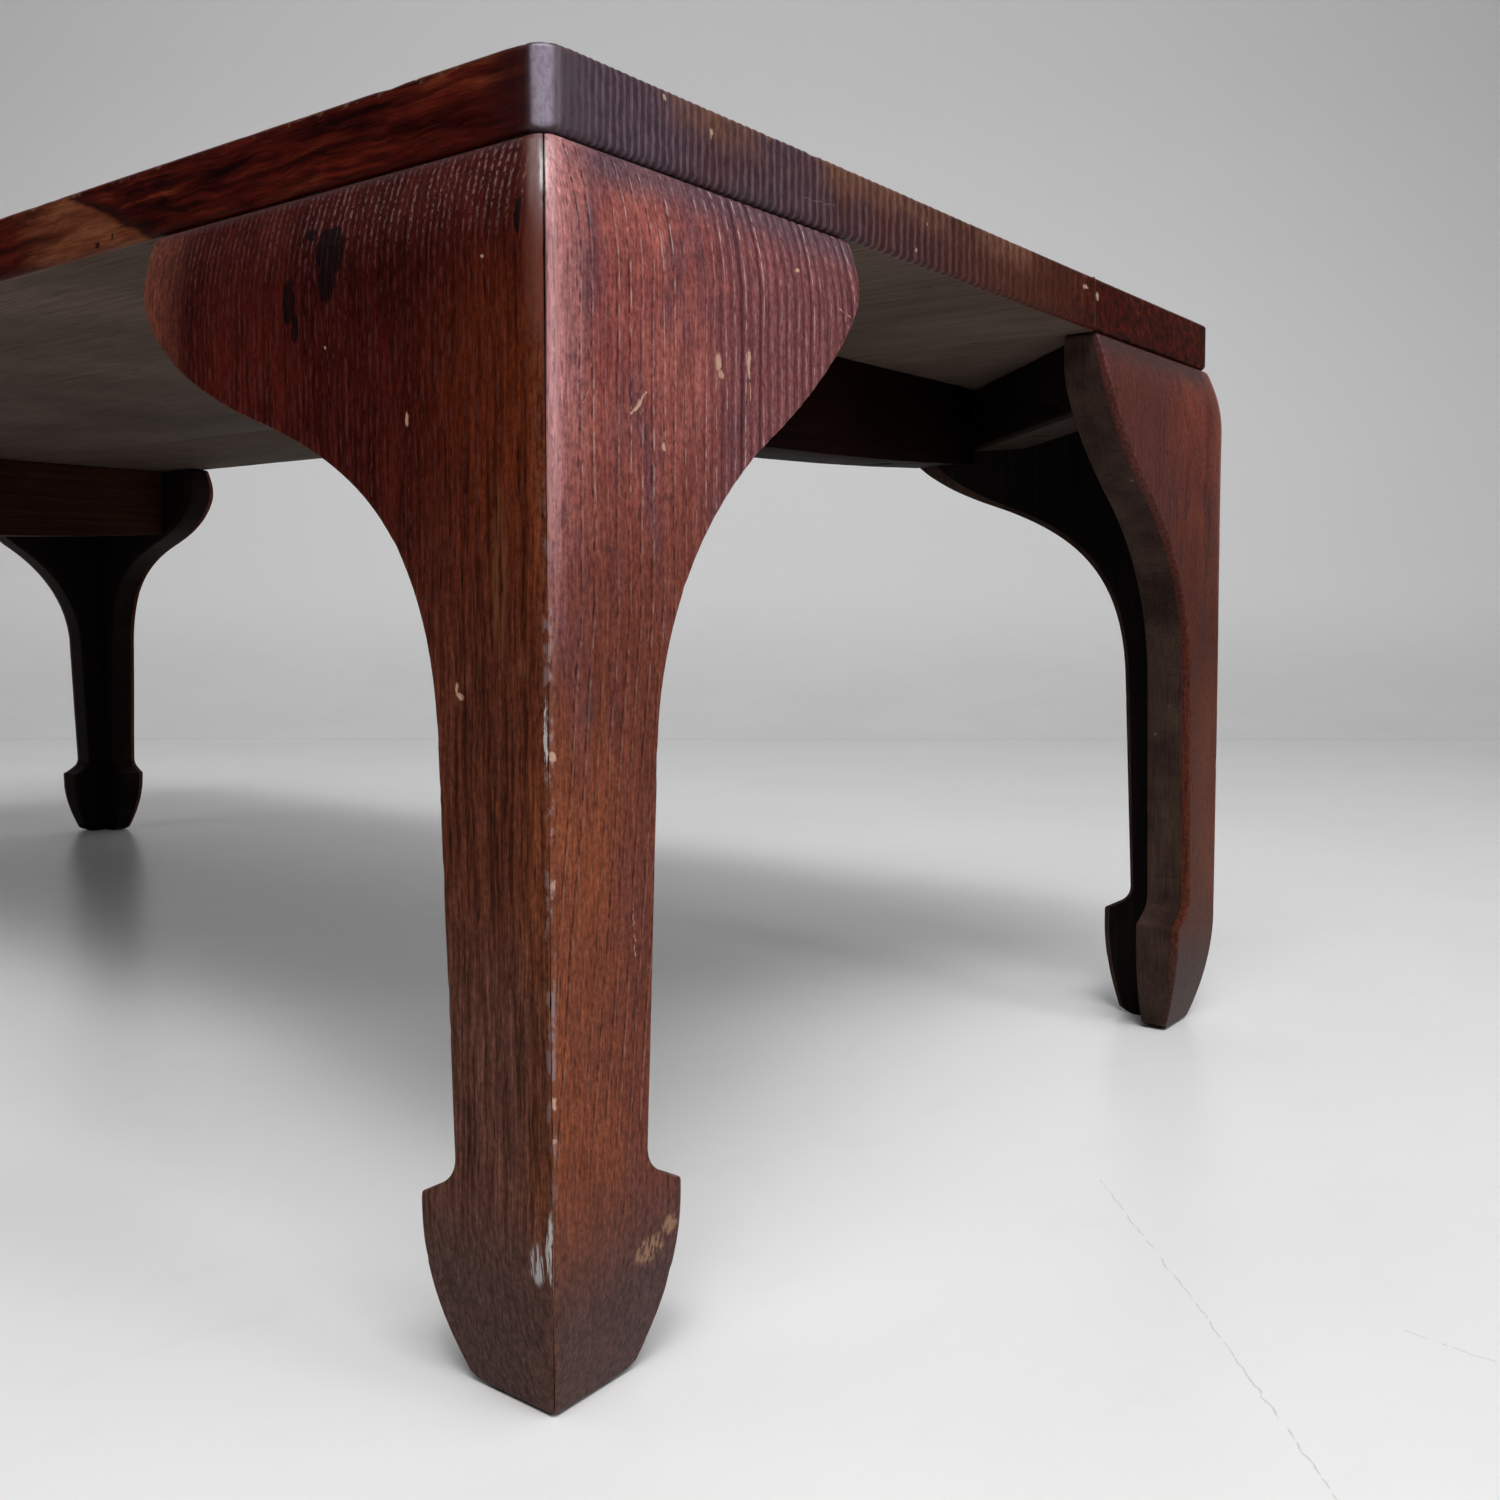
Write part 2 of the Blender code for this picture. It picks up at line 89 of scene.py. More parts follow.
# %% [markdown]
# ## Sizes that the boards share
#
# A maker lays out all four legs from one pattern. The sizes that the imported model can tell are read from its
# boxes. The rest are the pattern's own numbers: where the bracket swells, how far the faces roll in, how wide
# the hoof is. All are in metres.

# %% Pattern of the table
HALF_LENGTH = cad_high.x
HALF_WIDTH = cad_high.y
HEIGHT = cad_high.z
wide_low, wide_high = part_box("top_board_wide")
narrow_low, narrow_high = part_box("top_board_narrow")
UNDERSIDE = wide_low.z
LEG_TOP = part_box("front_right_leg_end_board")[1].z
MITRE_GAP = 0.0003 / math.sqrt(2)

LEG_THICKNESS = 0.0205
TOP_ROLL, TOP_ROLL_HEIGHT = 0.006, 0.0285
FOOT_ROLL, FOOT_ROLL_HEIGHT = 0.0095, 0.052
SHANK_TOP = (0.039, LEG_TOP - 0.145)
SHANK_FOOT = (0.0345, 0.0578)
FOOT_WIDTH, LEDGE_TIP = 0.0478, 0.0518
NOSE_DROP = 0.0115
BRACKETS = {
    "long": {"flare": 0.1695, "knee": (0.112, 0.0597), "slope": 0.336, "pulls": (0.46, 0.42, 0.42, 0.31)},
    "end": {"flare": 0.1345, "knee": (0.088, 0.064), "slope": 0.68, "pulls": (0.41, 0.28, 0.41, 0.2)},
}
CORNERS = {"front_right": (1, -1), "back_right": (1, 1), "front_left": (-1, -1), "back_left": (-1, 1)}
print(f"underside at {UNDERSIDE * 1000:.1f} mm, legs {LEG_TOP * 1000:.1f} mm high")

# %% [markdown]
# ## The camera
#
# The photo was taken from low down, close to one corner, looking almost level. The numbers come from matching
# the table's edges with the picture: a normal-to-wide lens, 3.5 degrees down, with the picture cut a little
# below the lens's middle, which is what the shift is for.

# %% Place the camera
PHOTO_SIDE, SENSOR = 1500, 36
LENS_IN_PIXELS, MIDDLE_ROW = 1433.1, 690.2
LOOK_DOWN, LOOK_LEFT = math.radians(3.486), math.radians(37.116)


def put(name, data):
    """New object in the scene that holds this mesh, lamp or camera."""
    made = bpy.data.objects.new(name, data)
    bpy.context.scene.collection.objects.link(made)
    return made


photo_camera = put("photo_camera", bpy.data.cameras.new("photo_camera"))
photo_camera.location = (0.7411, -0.4609, 0.2017)
photo_camera.rotation_euler = (math.pi / 2 - LOOK_DOWN, 0, LOOK_LEFT)
photo_camera.data.sensor_width = SENSOR
photo_camera.data.lens = SENSOR * LENS_IN_PIXELS / PHOTO_SIDE
photo_camera.data.shift_y = (MIDDLE_ROW - PHOTO_SIDE / 2) / PHOTO_SIDE
photo_camera.data.clip_start = 0.01
bpy.context.scene.camera = photo_camera
print(f"lens {photo_camera.data.lens:.2f} mm, shift {photo_camera.data.shift_y:.4f}")

# %% [markdown]
# ## Writing nodes as sums
#
# Materials and Geometry Nodes are both trees of small nodes. Wiring them by hand hides the idea behind them,
# so one class wraps a socket. Adding or multiplying two wires adds a Math node, and every other node comes
# from one method. The rest of the lesson then reads like formulas.

# %% A wire between nodes
def plug(socket, value):
    """Link a wire to a socket, or set the socket's own value."""
    if isinstance(value, Wire):
        socket.id_data.links.new(value.socket, socket)
    elif socket.type == "RGBA" and len(value) == 3:
        socket.default_value = (*value, 1.0)
    else:
        socket.default_value = value


class Wire:
    """One output of a node. Arithmetic on wires adds Math nodes to the same tree."""

    def __init__(self, socket):
        self.socket = socket
        self.tree = socket.id_data

    def node(self, kind, settings=(), sockets=(), out=0):
        """Add a node to this tree: its settings first, then its sockets' values or links."""
        made = self.tree.nodes.new(kind)
        for name, value in dict(settings).items():
            setattr(made, name, value)
        for name, value in dict(sockets).items():
            plug(made.inputs[name], value)
        return Wire(made.outputs[out])

    def maths(self, operation, *values):
        """Math node on one or two values."""
        return self.node("ShaderNodeMath", {"operation": operation}, dict(enumerate(values)))

    def vectors(self, operation, *values):
        """Vector Math node. A length or a product is a plain number, on the node's second output."""
        number = operation in ("LENGTH", "DISTANCE", "DOT_PRODUCT")
        return self.node("ShaderNodeVectorMath", {"operation": operation}, dict(enumerate(values)), int(number))

    def __add__(self, other):
        return self.maths("ADD", self, other)

    def __sub__(self, other):
        return self.maths("SUBTRACT", self, other)

    def __mul__(self, other):
        return self.maths("MULTIPLY", self, other)

    def __truediv__(self, other):
        return self.maths("DIVIDE", self, other)

    def __rsub__(self, other):
        return self.maths("SUBTRACT", other, self)

    def __rtruediv__(self, other):
        return self.maths("DIVIDE", other, self)

    def __abs__(self):
        return self.maths("ABSOLUTE", self)


print("wires are ready")

# %% Words for common nodes
def stretch(place, x, y, z):
    """Scale a vector on each axis: a small number draws the pattern out along that axis."""
    return place.vectors("MULTIPLY", place, (x, y, z))


def noise(place, scale, detail=2.0, roughness=0.5, seed=0.0):
    """Smooth random value between 0 and 1."""
    return place.node("ShaderNodeTexNoise", {"noise_dimensions": "4D"},
                      {"Vector": place, "W": seed, "Scale": scale, "Detail": detail, "Roughness": roughness})


def ease(value, low, high, to_low=0.0, to_high=1.0):
    """Soft step from one value to another, between low and high."""
    return value.node("ShaderNodeMapRange", {"interpolation_type": "SMOOTHSTEP"},
                      {"Value": value, "From Min": low, "From Max": high, "To Min": to_low, "To Max": to_high})


def tint(under, over, mask, how="MIX"):
    """Lay one colour over another where the mask is 1."""
    wire = next(w for w in (mask, under, over) if isinstance(w, Wire))
    return wire.node("ShaderNodeMix", {"data_type": "RGBA", "blend_type": how}, {0: mask, 6: under, 7: over}, 2)


def larger(first, second):
    """The larger of two values."""
    return first.maths("MAXIMUM", first, second)


def own_value(place, name):
    """A value that the mesh carries on its points."""
    return place.node("ShaderNodeAttribute", {"attribute_name": name}, {}, 2)


print("noise, ease, tint and the rest are ready")

# %% [markdown]
# ## The curve of a leg board
#
# A leg board is sawn along one flowing line: up from the hoof, over its ledge, up the shank and out along the
# bracket to the nose. Drawn as a list of points from the floor up, the line gives the board's width at every
# height. Bezier curves make the sweeps, as a flexible batten would on the workbench.

# %% Sawn line of a board
def sweep(start, start_pull, end_pull, end, steps=26):
    """Points on a Bezier curve, without its first point."""
    t = np.linspace(0, 1, steps + 1)[1:, None]
    corners = [np.array(c, float) for c in (start, start_pull, end_pull, end)]
    weights = ((1 - t) ** 3, 3 * t * (1 - t) ** 2, 3 * t * t * (1 - t), t ** 3)
    return [tuple(p) for p in sum(w * c for w, c in zip(weights, corners))]


def hoof_line():
    """Foot of the board, up to where its ledge flows into the shank."""
    toe = (FOOT_WIDTH - 0.0083, 0.003)
    belly = (FOOT_WIDTH, LEDGE_TIP - 0.0078)
    line = [(FOOT_WIDTH - 0.0138, 0.0), toe]
    line += sweep(toe, (toe[0] + 0.003, 0.012), (FOOT_WIDTH, 0.6 * belly[1]), belly)
    tip = (FOOT_WIDTH, LEDGE_TIP - 0.0018)
    line += [tip] + sweep(tip, (FOOT_WIDTH, LEDGE_TIP - 0.0006), (FOOT_WIDTH - 0.0004, LEDGE_TIP),
                          (FOOT_WIDTH - 0.002, LEDGE_TIP + 0.0002), 6)
    shank = (SHANK_FOOT[0] + 0.0002, SHANK_FOOT[1] + 0.0055)
    line += sweep(line[-1], (SHANK_FOOT[0] + 0.004, 0.056), (SHANK_FOOT[0] + 0.0003, 0.0578), shank, 12)
    return line


def bracket_line(kind):
    """Shank and bracket of the board, up to the nose under the top."""
    pattern = BRACKETS[kind]
    shank, nose = np.array(SHANK_TOP), np.array((pattern["flare"], LEG_TOP - NOSE_DROP))
    knee = np.array((pattern["knee"][0], LEG_TOP - pattern["knee"][1]))
    taper = (shank - np.array(SHANK_FOOT)) / np.linalg.norm(shank - np.array(SHANK_FOOT))
    lean = np.array((1.0, pattern["slope"])) / math.hypot(1.0, pattern["slope"])
    lower, upper = np.linalg.norm(knee - shank), np.linalg.norm(nose - knee)
    pull = pattern["pulls"]
    line = [tuple(shank)]
    line += sweep(shank, shank + taper * pull[0] * lower, knee - lean * pull[1] * lower, knee)
    line += sweep(knee, knee + lean * pull[2] * upper, nose - np.array((0, pull[3] * upper)), nose)
    return line + [(pattern["flare"], LEG_TOP)]


SAWN_LINES = {kind: np.array(hoof_line() + bracket_line(kind)) for kind in BRACKETS}
print({kind: len(line) for kind, line in SAWN_LINES.items()}, "points on the sawn lines")

# %% [markdown]
# ## Sections of a leg board
#
# At each height the board's section is a thin strip: a rounded corner at the mitre, the outer face, an eased
# arris, the sawn edge, the inner face and the mitre. The mitre is a little open at the outer corner and closed
# inside, as old glued mitres are. Stacking the sections gives the board. Each point also carries values that
# the wood needs later, such as how much of an arris it is and where it lies across the tree's growth rings.

# %% Section of a leg board at one height
OUTER, SAWN, INNER = 0, 1, 2
OUTER_COLUMNS = {"long": 90, "end": 230}
SAWN_ARRIS, INNER_ARRIS, TOP_ARRIS = 0.001, 0.0006, 0.002
CORNER_RADII = ((0.14, 0.25), (0.0018, 0.0042))
MITRE_OPENING, MITRE_CLOSED = ((0.2, 0.28), (0.35, 1.0)), 0.00002
RING_SLANT = {"long": 0.0, "end": 0.108}
CLOSEST_SECTIONS = 0.00012


def rolled_in(height):
    """How far the outer face has rolled in at a height, under the top and at the foot."""
    at_top = max(0.0, 1 - (LEG_TOP - height) / TOP_ROLL_HEIGHT)
    at_foot = max(0.0, 1 - height / FOOT_ROLL_HEIGHT)
    return TOP_ROLL * at_top ** 2 + FOOT_ROLL * at_foot ** 2


def eased(distance):
    """How far an arris is eased back at a distance from the end of the board."""
    short = max(0.0, TOP_ARRIS - distance)
    return TOP_ARRIS - math.sqrt(TOP_ARRIS ** 2 - short ** 2)


def quarter(centre, radius, start, end, steps):
    """Points on an arc, angles in degrees."""
    turns = np.radians(np.linspace(start, end, steps))
    return np.column_stack((centre[0] + radius * np.cos(turns), centre[1] + radius * np.sin(turns)))


def board_section(kind, height):
    """Section as rows of across, deep, arris, worked and surface."""
    ends = eased(LEG_TOP - height) + eased(height)
    face = rolled_in(height) + ends
    line = SAWN_LINES[kind]
    width = np.interp(height, line[:, 1], line[:, 0]) - ends
    radius = np.interp(height, *CORNER_RADII)
    corner = quarter((face + radius, face + radius), radius, 225, 270, 7)
    gap = MITRE_GAP * np.interp(height, *MITRE_OPENING)
    corner[:, 0] = np.maximum(corner[:, 0], corner[:, 1] + gap)
    reach = np.linspace(face + radius, width - SAWN_ARRIS, OUTER_COLUMNS[kind])[1:-1]
    outer = np.column_stack((reach, np.full_like(reach, face)))
    front = quarter((width - SAWN_ARRIS, face + SAWN_ARRIS), SAWN_ARRIS, 270, 360, 6)
    deep = np.linspace(face + SAWN_ARRIS, LEG_THICKNESS - INNER_ARRIS, 8)[1:-1]
    edge = np.column_stack((np.full_like(deep, width), deep))
    back = quarter((width - INNER_ARRIS, LEG_THICKNESS - INNER_ARRIS), INNER_ARRIS, 0, 90, 4)
    across = np.linspace(width - INNER_ARRIS, LEG_THICKNESS + MITRE_CLOSED, 14)[1:]
    inner = np.column_stack((across, np.full_like(across, LEG_THICKNESS)))
    parts = ((corner, 1.0, 1.0, OUTER), (outer, 0.0, 1.0, OUTER), (front, 1.0, 1.0, OUTER),
             (edge, 0.0, 1.0, SAWN), (back, 0.5, 0.0, SAWN), (inner, 0.0, 0.0, INNER))
    rows = [np.column_stack((points, np.tile((arris, worked, surface), (len(points), 1))))
            for points, arris, worked, surface in parts]
    return np.vstack(rows)


def board_heights(kind):
    """Heights of the sections: the sawn line's own points, with the wide steps filled in."""
    fine = (SAWN_LINES[kind][:, 1], LEG_TOP - TOP_ROLL_HEIGHT * np.linspace(0, 1, 22) ** 1.5,
            TOP_ARRIS * np.linspace(0, 1, 5), LEG_TOP - TOP_ARRIS * np.linspace(0, 1, 6),
            np.linspace(0, LEG_TOP, 125))
    heights = np.concatenate(fine)
    heights = np.unique(np.round(heights, 5))
    heights = heights[np.concatenate(([True], np.diff(heights) > CLOSEST_SECTIONS))]
    heights[-1] = LEG_TOP
    return heights


SECTIONS = {}
for kind in BRACKETS:
    heights = board_heights(kind)
    SECTIONS[kind] = (heights, np.array([board_section(kind, h) for h in heights]))
    print(kind, "board:", len(heights), "sections of", SECTIONS[kind][1].shape[1], "points")

# %% [markdown]
# ## From sections to a mesh
#
# The sections are joined into a skin and closed at both ends. The mesh keeps the points' values as attributes
# and the kind of surface on its faces, so that later steps can tell a worn arris from an inner face.

# %% Join rings into a closed mesh
def skin(name, rings, values, strips, caps=(INNER, INNER)):
    """Closed mesh through rings of points; strips and caps give the surface kind of the faces."""
    levels, count, _ = rings.shape
    index = np.arange(levels * count).reshape(levels, count)
    beside = np.roll(index, -1, axis=1)
    quads = np.stack((index[:-1], beside[:-1], beside[1:], index[1:]), axis=-1).reshape(-1, 4)
    mesh = bpy.data.meshes.new(name)
    mesh.from_pydata(rings.reshape(-1, 3), [], quads.tolist() + [index[0, ::-1].tolist(), index[-1].tolist()])
    for key, numbers in values.items():
        mesh.attributes.new(key, "FLOAT", "POINT").data.foreach_set("value", np.ravel(numbers).astype(np.float32))
    surfaces = np.concatenate((np.tile(strips, levels - 1), caps)).astype(np.int32)
    mesh.attributes.new("surface", "INT", "FACE").data.foreach_set("value", surfaces)
    shell = bmesh.new()
    shell.from_mesh(mesh)
    bmesh.ops.recalc_face_normals(shell, faces=shell.faces[:])
    shell.to_mesh(mesh)
    shell.free()
    mesh.shade_smooth()
    return put(name, mesh)


def leg_board(name, corner, kind):
    """One leg board in its place at a corner of the table."""
    heights, section = SECTIONS[kind]
    across, deep = section[:, :, 0], section[:, :, 1]
    from_end, from_side = (across, deep) if kind == "long" else (deep, across)
    tall = np.repeat(heights[:, None], section.shape[1], axis=1)
    rings = np.stack((corner[0] * (HALF_LENGTH - from_end), corner[1] * (HALF_WIDTH - from_side), tall), axis=-1)
    slant = RING_SLANT[kind] * np.clip(0.2 - tall, 0.0, 0.14)
    values = {"arris": section[:, :, 2], "worked": section[:, :, 3], "ring_place": across + slant}
    values["ridged"] = (section[:, :, 4] == OUTER) * np.clip((across - 0.045) / 0.04, 0.08, 1)
    return skin(name, rings, values, section[0, :, 4])


leg_boards = {}
for corner_name, corner in CORNERS.items():
    for kind in BRACKETS:
        leg_boards[corner_name, kind] = leg_board(f"{corner_name}_{kind}_leg_board", corner, kind)
face_count = len(leg_boards["front_right", "end"].data.polygons)
print(len(leg_boards), "leg boards with", face_count, "faces on an end board")

# %% [markdown]
# ## The two boards of the top
#
# The top is a wide and a narrow board, joined edge to edge. The outer corners are rounded and the arrises
# eased by years of use. The ends show end grain that has worn into fine ridges, so the outline has a point
# every half millimetre there and few points along the sides. The tree grew faster with age: the rings are
# 2 mm apart at the front edge and 6 mm at the back.

# %% Outline and skin of a top board
END_STEP, SIDE_STEP = 0.0005, 0.006
TOP_CORNER_RADIUS = 0.008
LOWER_ARRIS, UPPER_ARRIS, JOINT_EASING, CAP_INSET = 0.0021, 0.0015, 0.15, 0.002
TOP_RING_PITCH = 0.003
RING_PLACES = np.linspace(-HALF_WIDTH, HALF_WIDTH, 500)
RING_COUNTS = np.cumsum(np.gradient(RING_PLACES) / np.interp(RING_PLACES, (-0.22, -0.13, -0.05, 0.09),
                                                            (0.0022, 0.0034, 0.0044, 0.0062)))


def top_outline(front, back, joint):
    """Points round a top board as x, y, outward x, outward y, ridged, and whether the point is in the joint."""
    half = wide_high.x
    radius = {name: 0.0 if name == joint else TOP_CORNER_RADIUS for name in ("front", "back")}

    def side(name, y, sign):
        along = np.arange(-half + radius[name], half - radius[name] + 1e-6, SIDE_STEP) * sign
        return [(x, y, 0, -sign, 0, name == joint) for x in along]

    def corner(name, sign, y, start):
        if name == joint:
            return []
        centre = (sign * (half - radius[name]), y)
        spokes = [(math.cos(turn), math.sin(turn)) for turn in np.radians(np.linspace(start, start + 90, 14))]
        return [(centre[0] + radius[name] * c, centre[1] + radius[name] * s, c, s, abs(c), 0) for c, s in spokes]

    def end(sign, first, last):
        places = np.linspace(first, last, int(abs(last - first) / END_STEP) + 1)[1:-1]
        return [(sign * half, y, sign, 0, 1, 0) for y in places]

    near, far = front + radius["front"], back - radius["back"]
    right = corner("front", 1, near, 270) + end(1, near, far) + corner("back", 1, far, 0)
    left = corner("back", -1, far, 90) + end(-1, far, near) + corner("front", -1, near, 180)
    return np.array(side("front", front, 1) + right + side("back", back, -1) + left, float)


def top_board(name, low, high, joint):
    """One board of the top, with eased arrises everywhere but in the joint."""
    outline = top_outline(low.y, high.y, joint)
    rounding = [(1 - math.cos(turn), 1 - math.sin(turn)) for turn in np.linspace(0, 1.57, 7)]
    levels = [(low.z + LOWER_ARRIS * up, LOWER_ARRIS * back, 1.0) for up, back in rounding]
    levels += [(z, 0.0, 0.0) for z in np.linspace(low.z + LOWER_ARRIS, high.z - UPPER_ARRIS, 20)[1:-1]]
    levels += [(high.z - UPPER_ARRIS * down, UPPER_ARRIS * back, 1.0) for down, back in rounding[::-1]]
    levels.append((high.z, UPPER_ARRIS + CAP_INSET, 0.0))
    rings, arris = [], []
    for z, back, worn in levels:
        in_by = np.where(outline[:, 5] > 0, JOINT_EASING * back, back)
        flat = outline[:, :2] - in_by[:, None] * outline[:, 2:4]
        rings.append(np.column_stack((flat, np.full(len(outline), z))))
        arris.append(worn * (1 - outline[:, 5]))
    rings = np.array(rings)
    worn_ends = np.interp(outline[:, 1], (-0.22, -0.12, -0.03, 0.09), (0.8, 1.0, 0.6, 0.2))
    ridged = np.tile(outline[:, 4] * worn_ends, (len(levels), 1))
    ridged[-1] = 0.0
    count = np.interp(rings[:, :, 1], RING_PLACES, RING_COUNTS)
    values = {"arris": np.array(arris), "worked": np.tile(1 - outline[:, 5], (len(levels), 1)),
              "ring_place": count * TOP_RING_PITCH, "ridged": ridged}
    return skin(name, rings, values, np.where(outline[:, 5] > 0, SAWN, OUTER), (INNER, OUTER))


top_boards = {
    "top_board_wide": top_board("wide_top_board", wide_low, wide_high, "back"),
    "top_board_narrow": top_board("narrow_top_board", narrow_low, narrow_high, "front"),
}
for board in top_boards.values():
    print(board.name, [round(d, 4) for d in board.dimensions], len(board.data.polygons), "faces")

# %% [markdown]
# ## Worn wood: shared grain
#
# All the wood is solid: the pattern fills space and each board cuts through it, so grain meets at the edges
# as in a real plank. Pores and fibres are noise drawn out along the tree's length. Where a face rolls in, the
# same pattern is cut at a slant and its streaks turn into short dots, which is what old open-grained wood
# shows. The alternative, a flat picture wrapped over each face, would break at every arris.

# %% Grain shared by every wood
WAX_ROUGHNESS = 0.28


def start_finish(name):
    """New material. Returns it, its shader and a wire with the point's place on the table."""
    material = bpy.data.materials.new(name)
    material.use_nodes = True
    tree = material.node_tree
    shader = tree.nodes["Principled BSDF"]
    place = Wire(tree.nodes.new("ShaderNodeTexCoord").outputs["Object"])
    return material, shader, place


def axes(place):
    """The three coordinates of a place as wires."""
    split = place.node("ShaderNodeSeparateXYZ", {}, {0: place}).socket.node
    return [Wire(output) for output in split.outputs]


def pores(place, along, width, length, share, seed=0.0):
    """Short open pores along the grain: 1 in a pore. The share says how much of the wood has them."""
    scale = [1 / (length if axis == along else width) for axis in range(3)]
    stretched = stretch(place, *scale)
    cell = stretched.node("ShaderNodeTexVoronoi", {"voronoi_dimensions": "4D"},
                          {"Vector": stretched, "W": seed, "Scale": 1.0, "Randomness": 1.0})
    pick = Wire(cell.socket.node.outputs["Color"])
    picked = ease(pick.node("ShaderNodeSeparateColor", {}, {0: pick}), share - 0.06, share, 1.0, 0.0)
    return ease(cell, 0.22, 0.42, 1.0, 0.0) * picked


def fibres(place, along, width, length, seed=0.0, detail=4.0):
    """Fine streaks along the grain, between 0 and 1."""
    drawn = [width / length if axis == along else 1.0 for axis in range(3)]
    return noise(stretch(place, *drawn), 1 / width, detail, 0.6, seed)


def marks(place, spots, soft=0.45):
    """1 inside any of the ellipsoids. Each is a centre and three half sizes, in millimetres."""
    mask = None
    for centre, half in spots:
        centre = tuple(c / 1000 for c in centre)
        away = place.vectors("SUBTRACT", place, centre)
        away = stretch(away, *(1000 / h for h in half))
        far = away.vectors("LENGTH", away)
        spot = ease(far, 1.0 - soft, 1.0, 1.0, 0.0)
        mask = spot if mask is None else larger(mask, spot)
    return mask


def scratches(place, lines):
    """1 on any of the thin lines. Each is a start, an end and a half width, in millimetres."""
    mask = None
    for start, end, half in lines:
        start, end = Vector(start) / 1000, Vector(end) / 1000
        along = end - start
        away = place.vectors("SUBTRACT", place, start)
        part = away.vectors("DOT_PRODUCT", away, along / along.length_squared)
        part = part.maths("MINIMUM", larger(part, 0.0), 1.0)
        nearest = part.node("ShaderNodeVectorMath", {"operation": "SCALE"}, {0: along, 3: part})
        gap = away.vectors("DISTANCE", away, nearest)
        line = ease(gap, 0.4 * half / 1000, half / 1000, 1.0, 0.0)
        mask = line if mask is None else larger(mask, line)
    return mask


def ragged(place, size, amount):
    """The place, shaken a little, so that marks get torn outlines and grain wanders."""
    amount = amount if isinstance(amount, tuple) else (amount,) * 3
    drift = Wire(noise(place, 1 / size, 3.0).socket.node.outputs["Color"])
    centred = drift.vectors("SUBTRACT", drift, (0.5, 0.5, 0.5))
    return place.vectors("MULTIPLY_ADD", centred, amount, place)


def paint(colour, *coats):
    """Lay coats over a colour, one after the other: each a colour, a mask and how they mix if not plainly."""
    for coat in coats:
        colour = tint(colour, *coat)
    return colour


def shading(value, dark, light, amount):
    """Coat that darkens and lightens the wood by a value that runs from 0 to 1."""
    return tint(dark, light, ease(value, 0.28, 0.72)), amount, "MULTIPLY"


def close_finish(shader, colour, roughness, height, specular=0.1, coat=0.0):
    """Feed the colour, the roughness, the relief in metres, the shine and the wax to a shader."""
    shader.inputs["Specular IOR Level"].default_value = specular
    shader.inputs["Coat Roughness"].default_value = WAX_ROUGHNESS
    plug(shader.inputs["Coat Weight"], coat)
    plug(shader.inputs["Base Color"], colour)
    plug(shader.inputs["Roughness"], roughness)
    bump = height.node("ShaderNodeBump", {}, {"Strength": 1.0, "Distance": 1.0, "Height": height})
    plug(shader.inputs["Normal"], bump)


print("pores, fibres and marks are ready")

# %% [markdown]
# ## Finish of the end boards
#
# The end boards took the most light and hands: warm red with violet, every growth ring a thin pale line about
# 4 mm from the next, with a row of dark pores beside it. The mesh carries the ring's number, so colour and
# relief use the same rings. Towards the nose the soft wood between the rings has worn into violet grooves.
# Chips, scratches and smudges sit where this table has them, as ellipsoids and thin lines with torn outlines.
# The two far legs are painted darker, as painted shade.

# %% Wood of the end boards
def ring_band(place, start, full, fade, end):
    """A band that comes once in every growth ring; the four numbers are parts of the ring's width."""
    ring = place.maths("FRACT", own_value(place, "ring_phase"))
    return ease(ring, start, full) * ease(ring, fade, end, 1.0, 0.0)


def ring_luck(place):
    """A random number that stays the same along one growth ring."""
    number = place.maths("FLOOR", own_value(place, "ring_phase"))
    return place.node("ShaderNodeTexWhiteNoise", {"noise_dimensions": "1D"}, {"W": number})


def mitre_line(from_mitre, z):
    """The dark line of the joint, open near the top and filled with wax lower down."""
    return ease(from_mitre, 0.0008, 0.0003) * ease(z, 0.22, 0.28, 0.1, 0.85)


def edge_nick_glints(place, from_mitre, z):
    """Small dents along the outer edge of the shank, painted pale as the glints that they catch."""
    dent = ease(noise(stretch(place, 1, 1, 0.5), 420, 3.0, 0.6, 19.0), 0.5, 0.6)
    return dent * ease(from_mitre, 0.0022, 0.0008) * ease(z, 0.05, 0.08) * ease(z, 0.24, 0.2)


END_CHIPS = (((505, -162.6, 264.4), (4, 1.6, 2.8)), ((505, -161.6, 261.6), (4, 1.8, 1.5)),
             ((505, -149.4, 266.0), (4, 1.0, 4.6)), ((505, -185.0, 240.8), (4, 0.8, 1.3)),
             ((505, -125.0, 295.3), (4, 1.4, 0.8)), ((504, -224.6, 166.0), (3, 0.9, 1.6)),
             ((504, -224.8, 136.0), (3, 0.9, 1.5)), ((504, -224.8, 84.0), (3, 0.8, 2.0)),
             ((504, -224.8, 75.0), (3, 0.9, 1.0)))
END_SCRATCHES = (
    ((505, -196.9, 248.0), (505, -191.6, 253.6), 0.55),
    ((505, -195.8, 249.2), (505, -193.9, 251.2), 0.9),
    ((505, -149.0, 268.0), (505, -148.7, 256.5), 0.4),
    ((505, -102.6, 289.8), (505, -101.0, 283.0), 0.45),
    ((505, -104.5, 287.6), (505, -99.0, 286.2), 0.35),
    ((505, -217.0, 248.6), (505, -214.8, 252.6), 0.16),
    ((505, -213.6, 248.4), (505, -211.2, 253.2), 0.16),
    ((505, -209.8, 250.0), (505, -207.8, 254.2), 0.16),
    ((505, -197.3, 125.5), (505, -196.2, 113.8), 0.3),
)
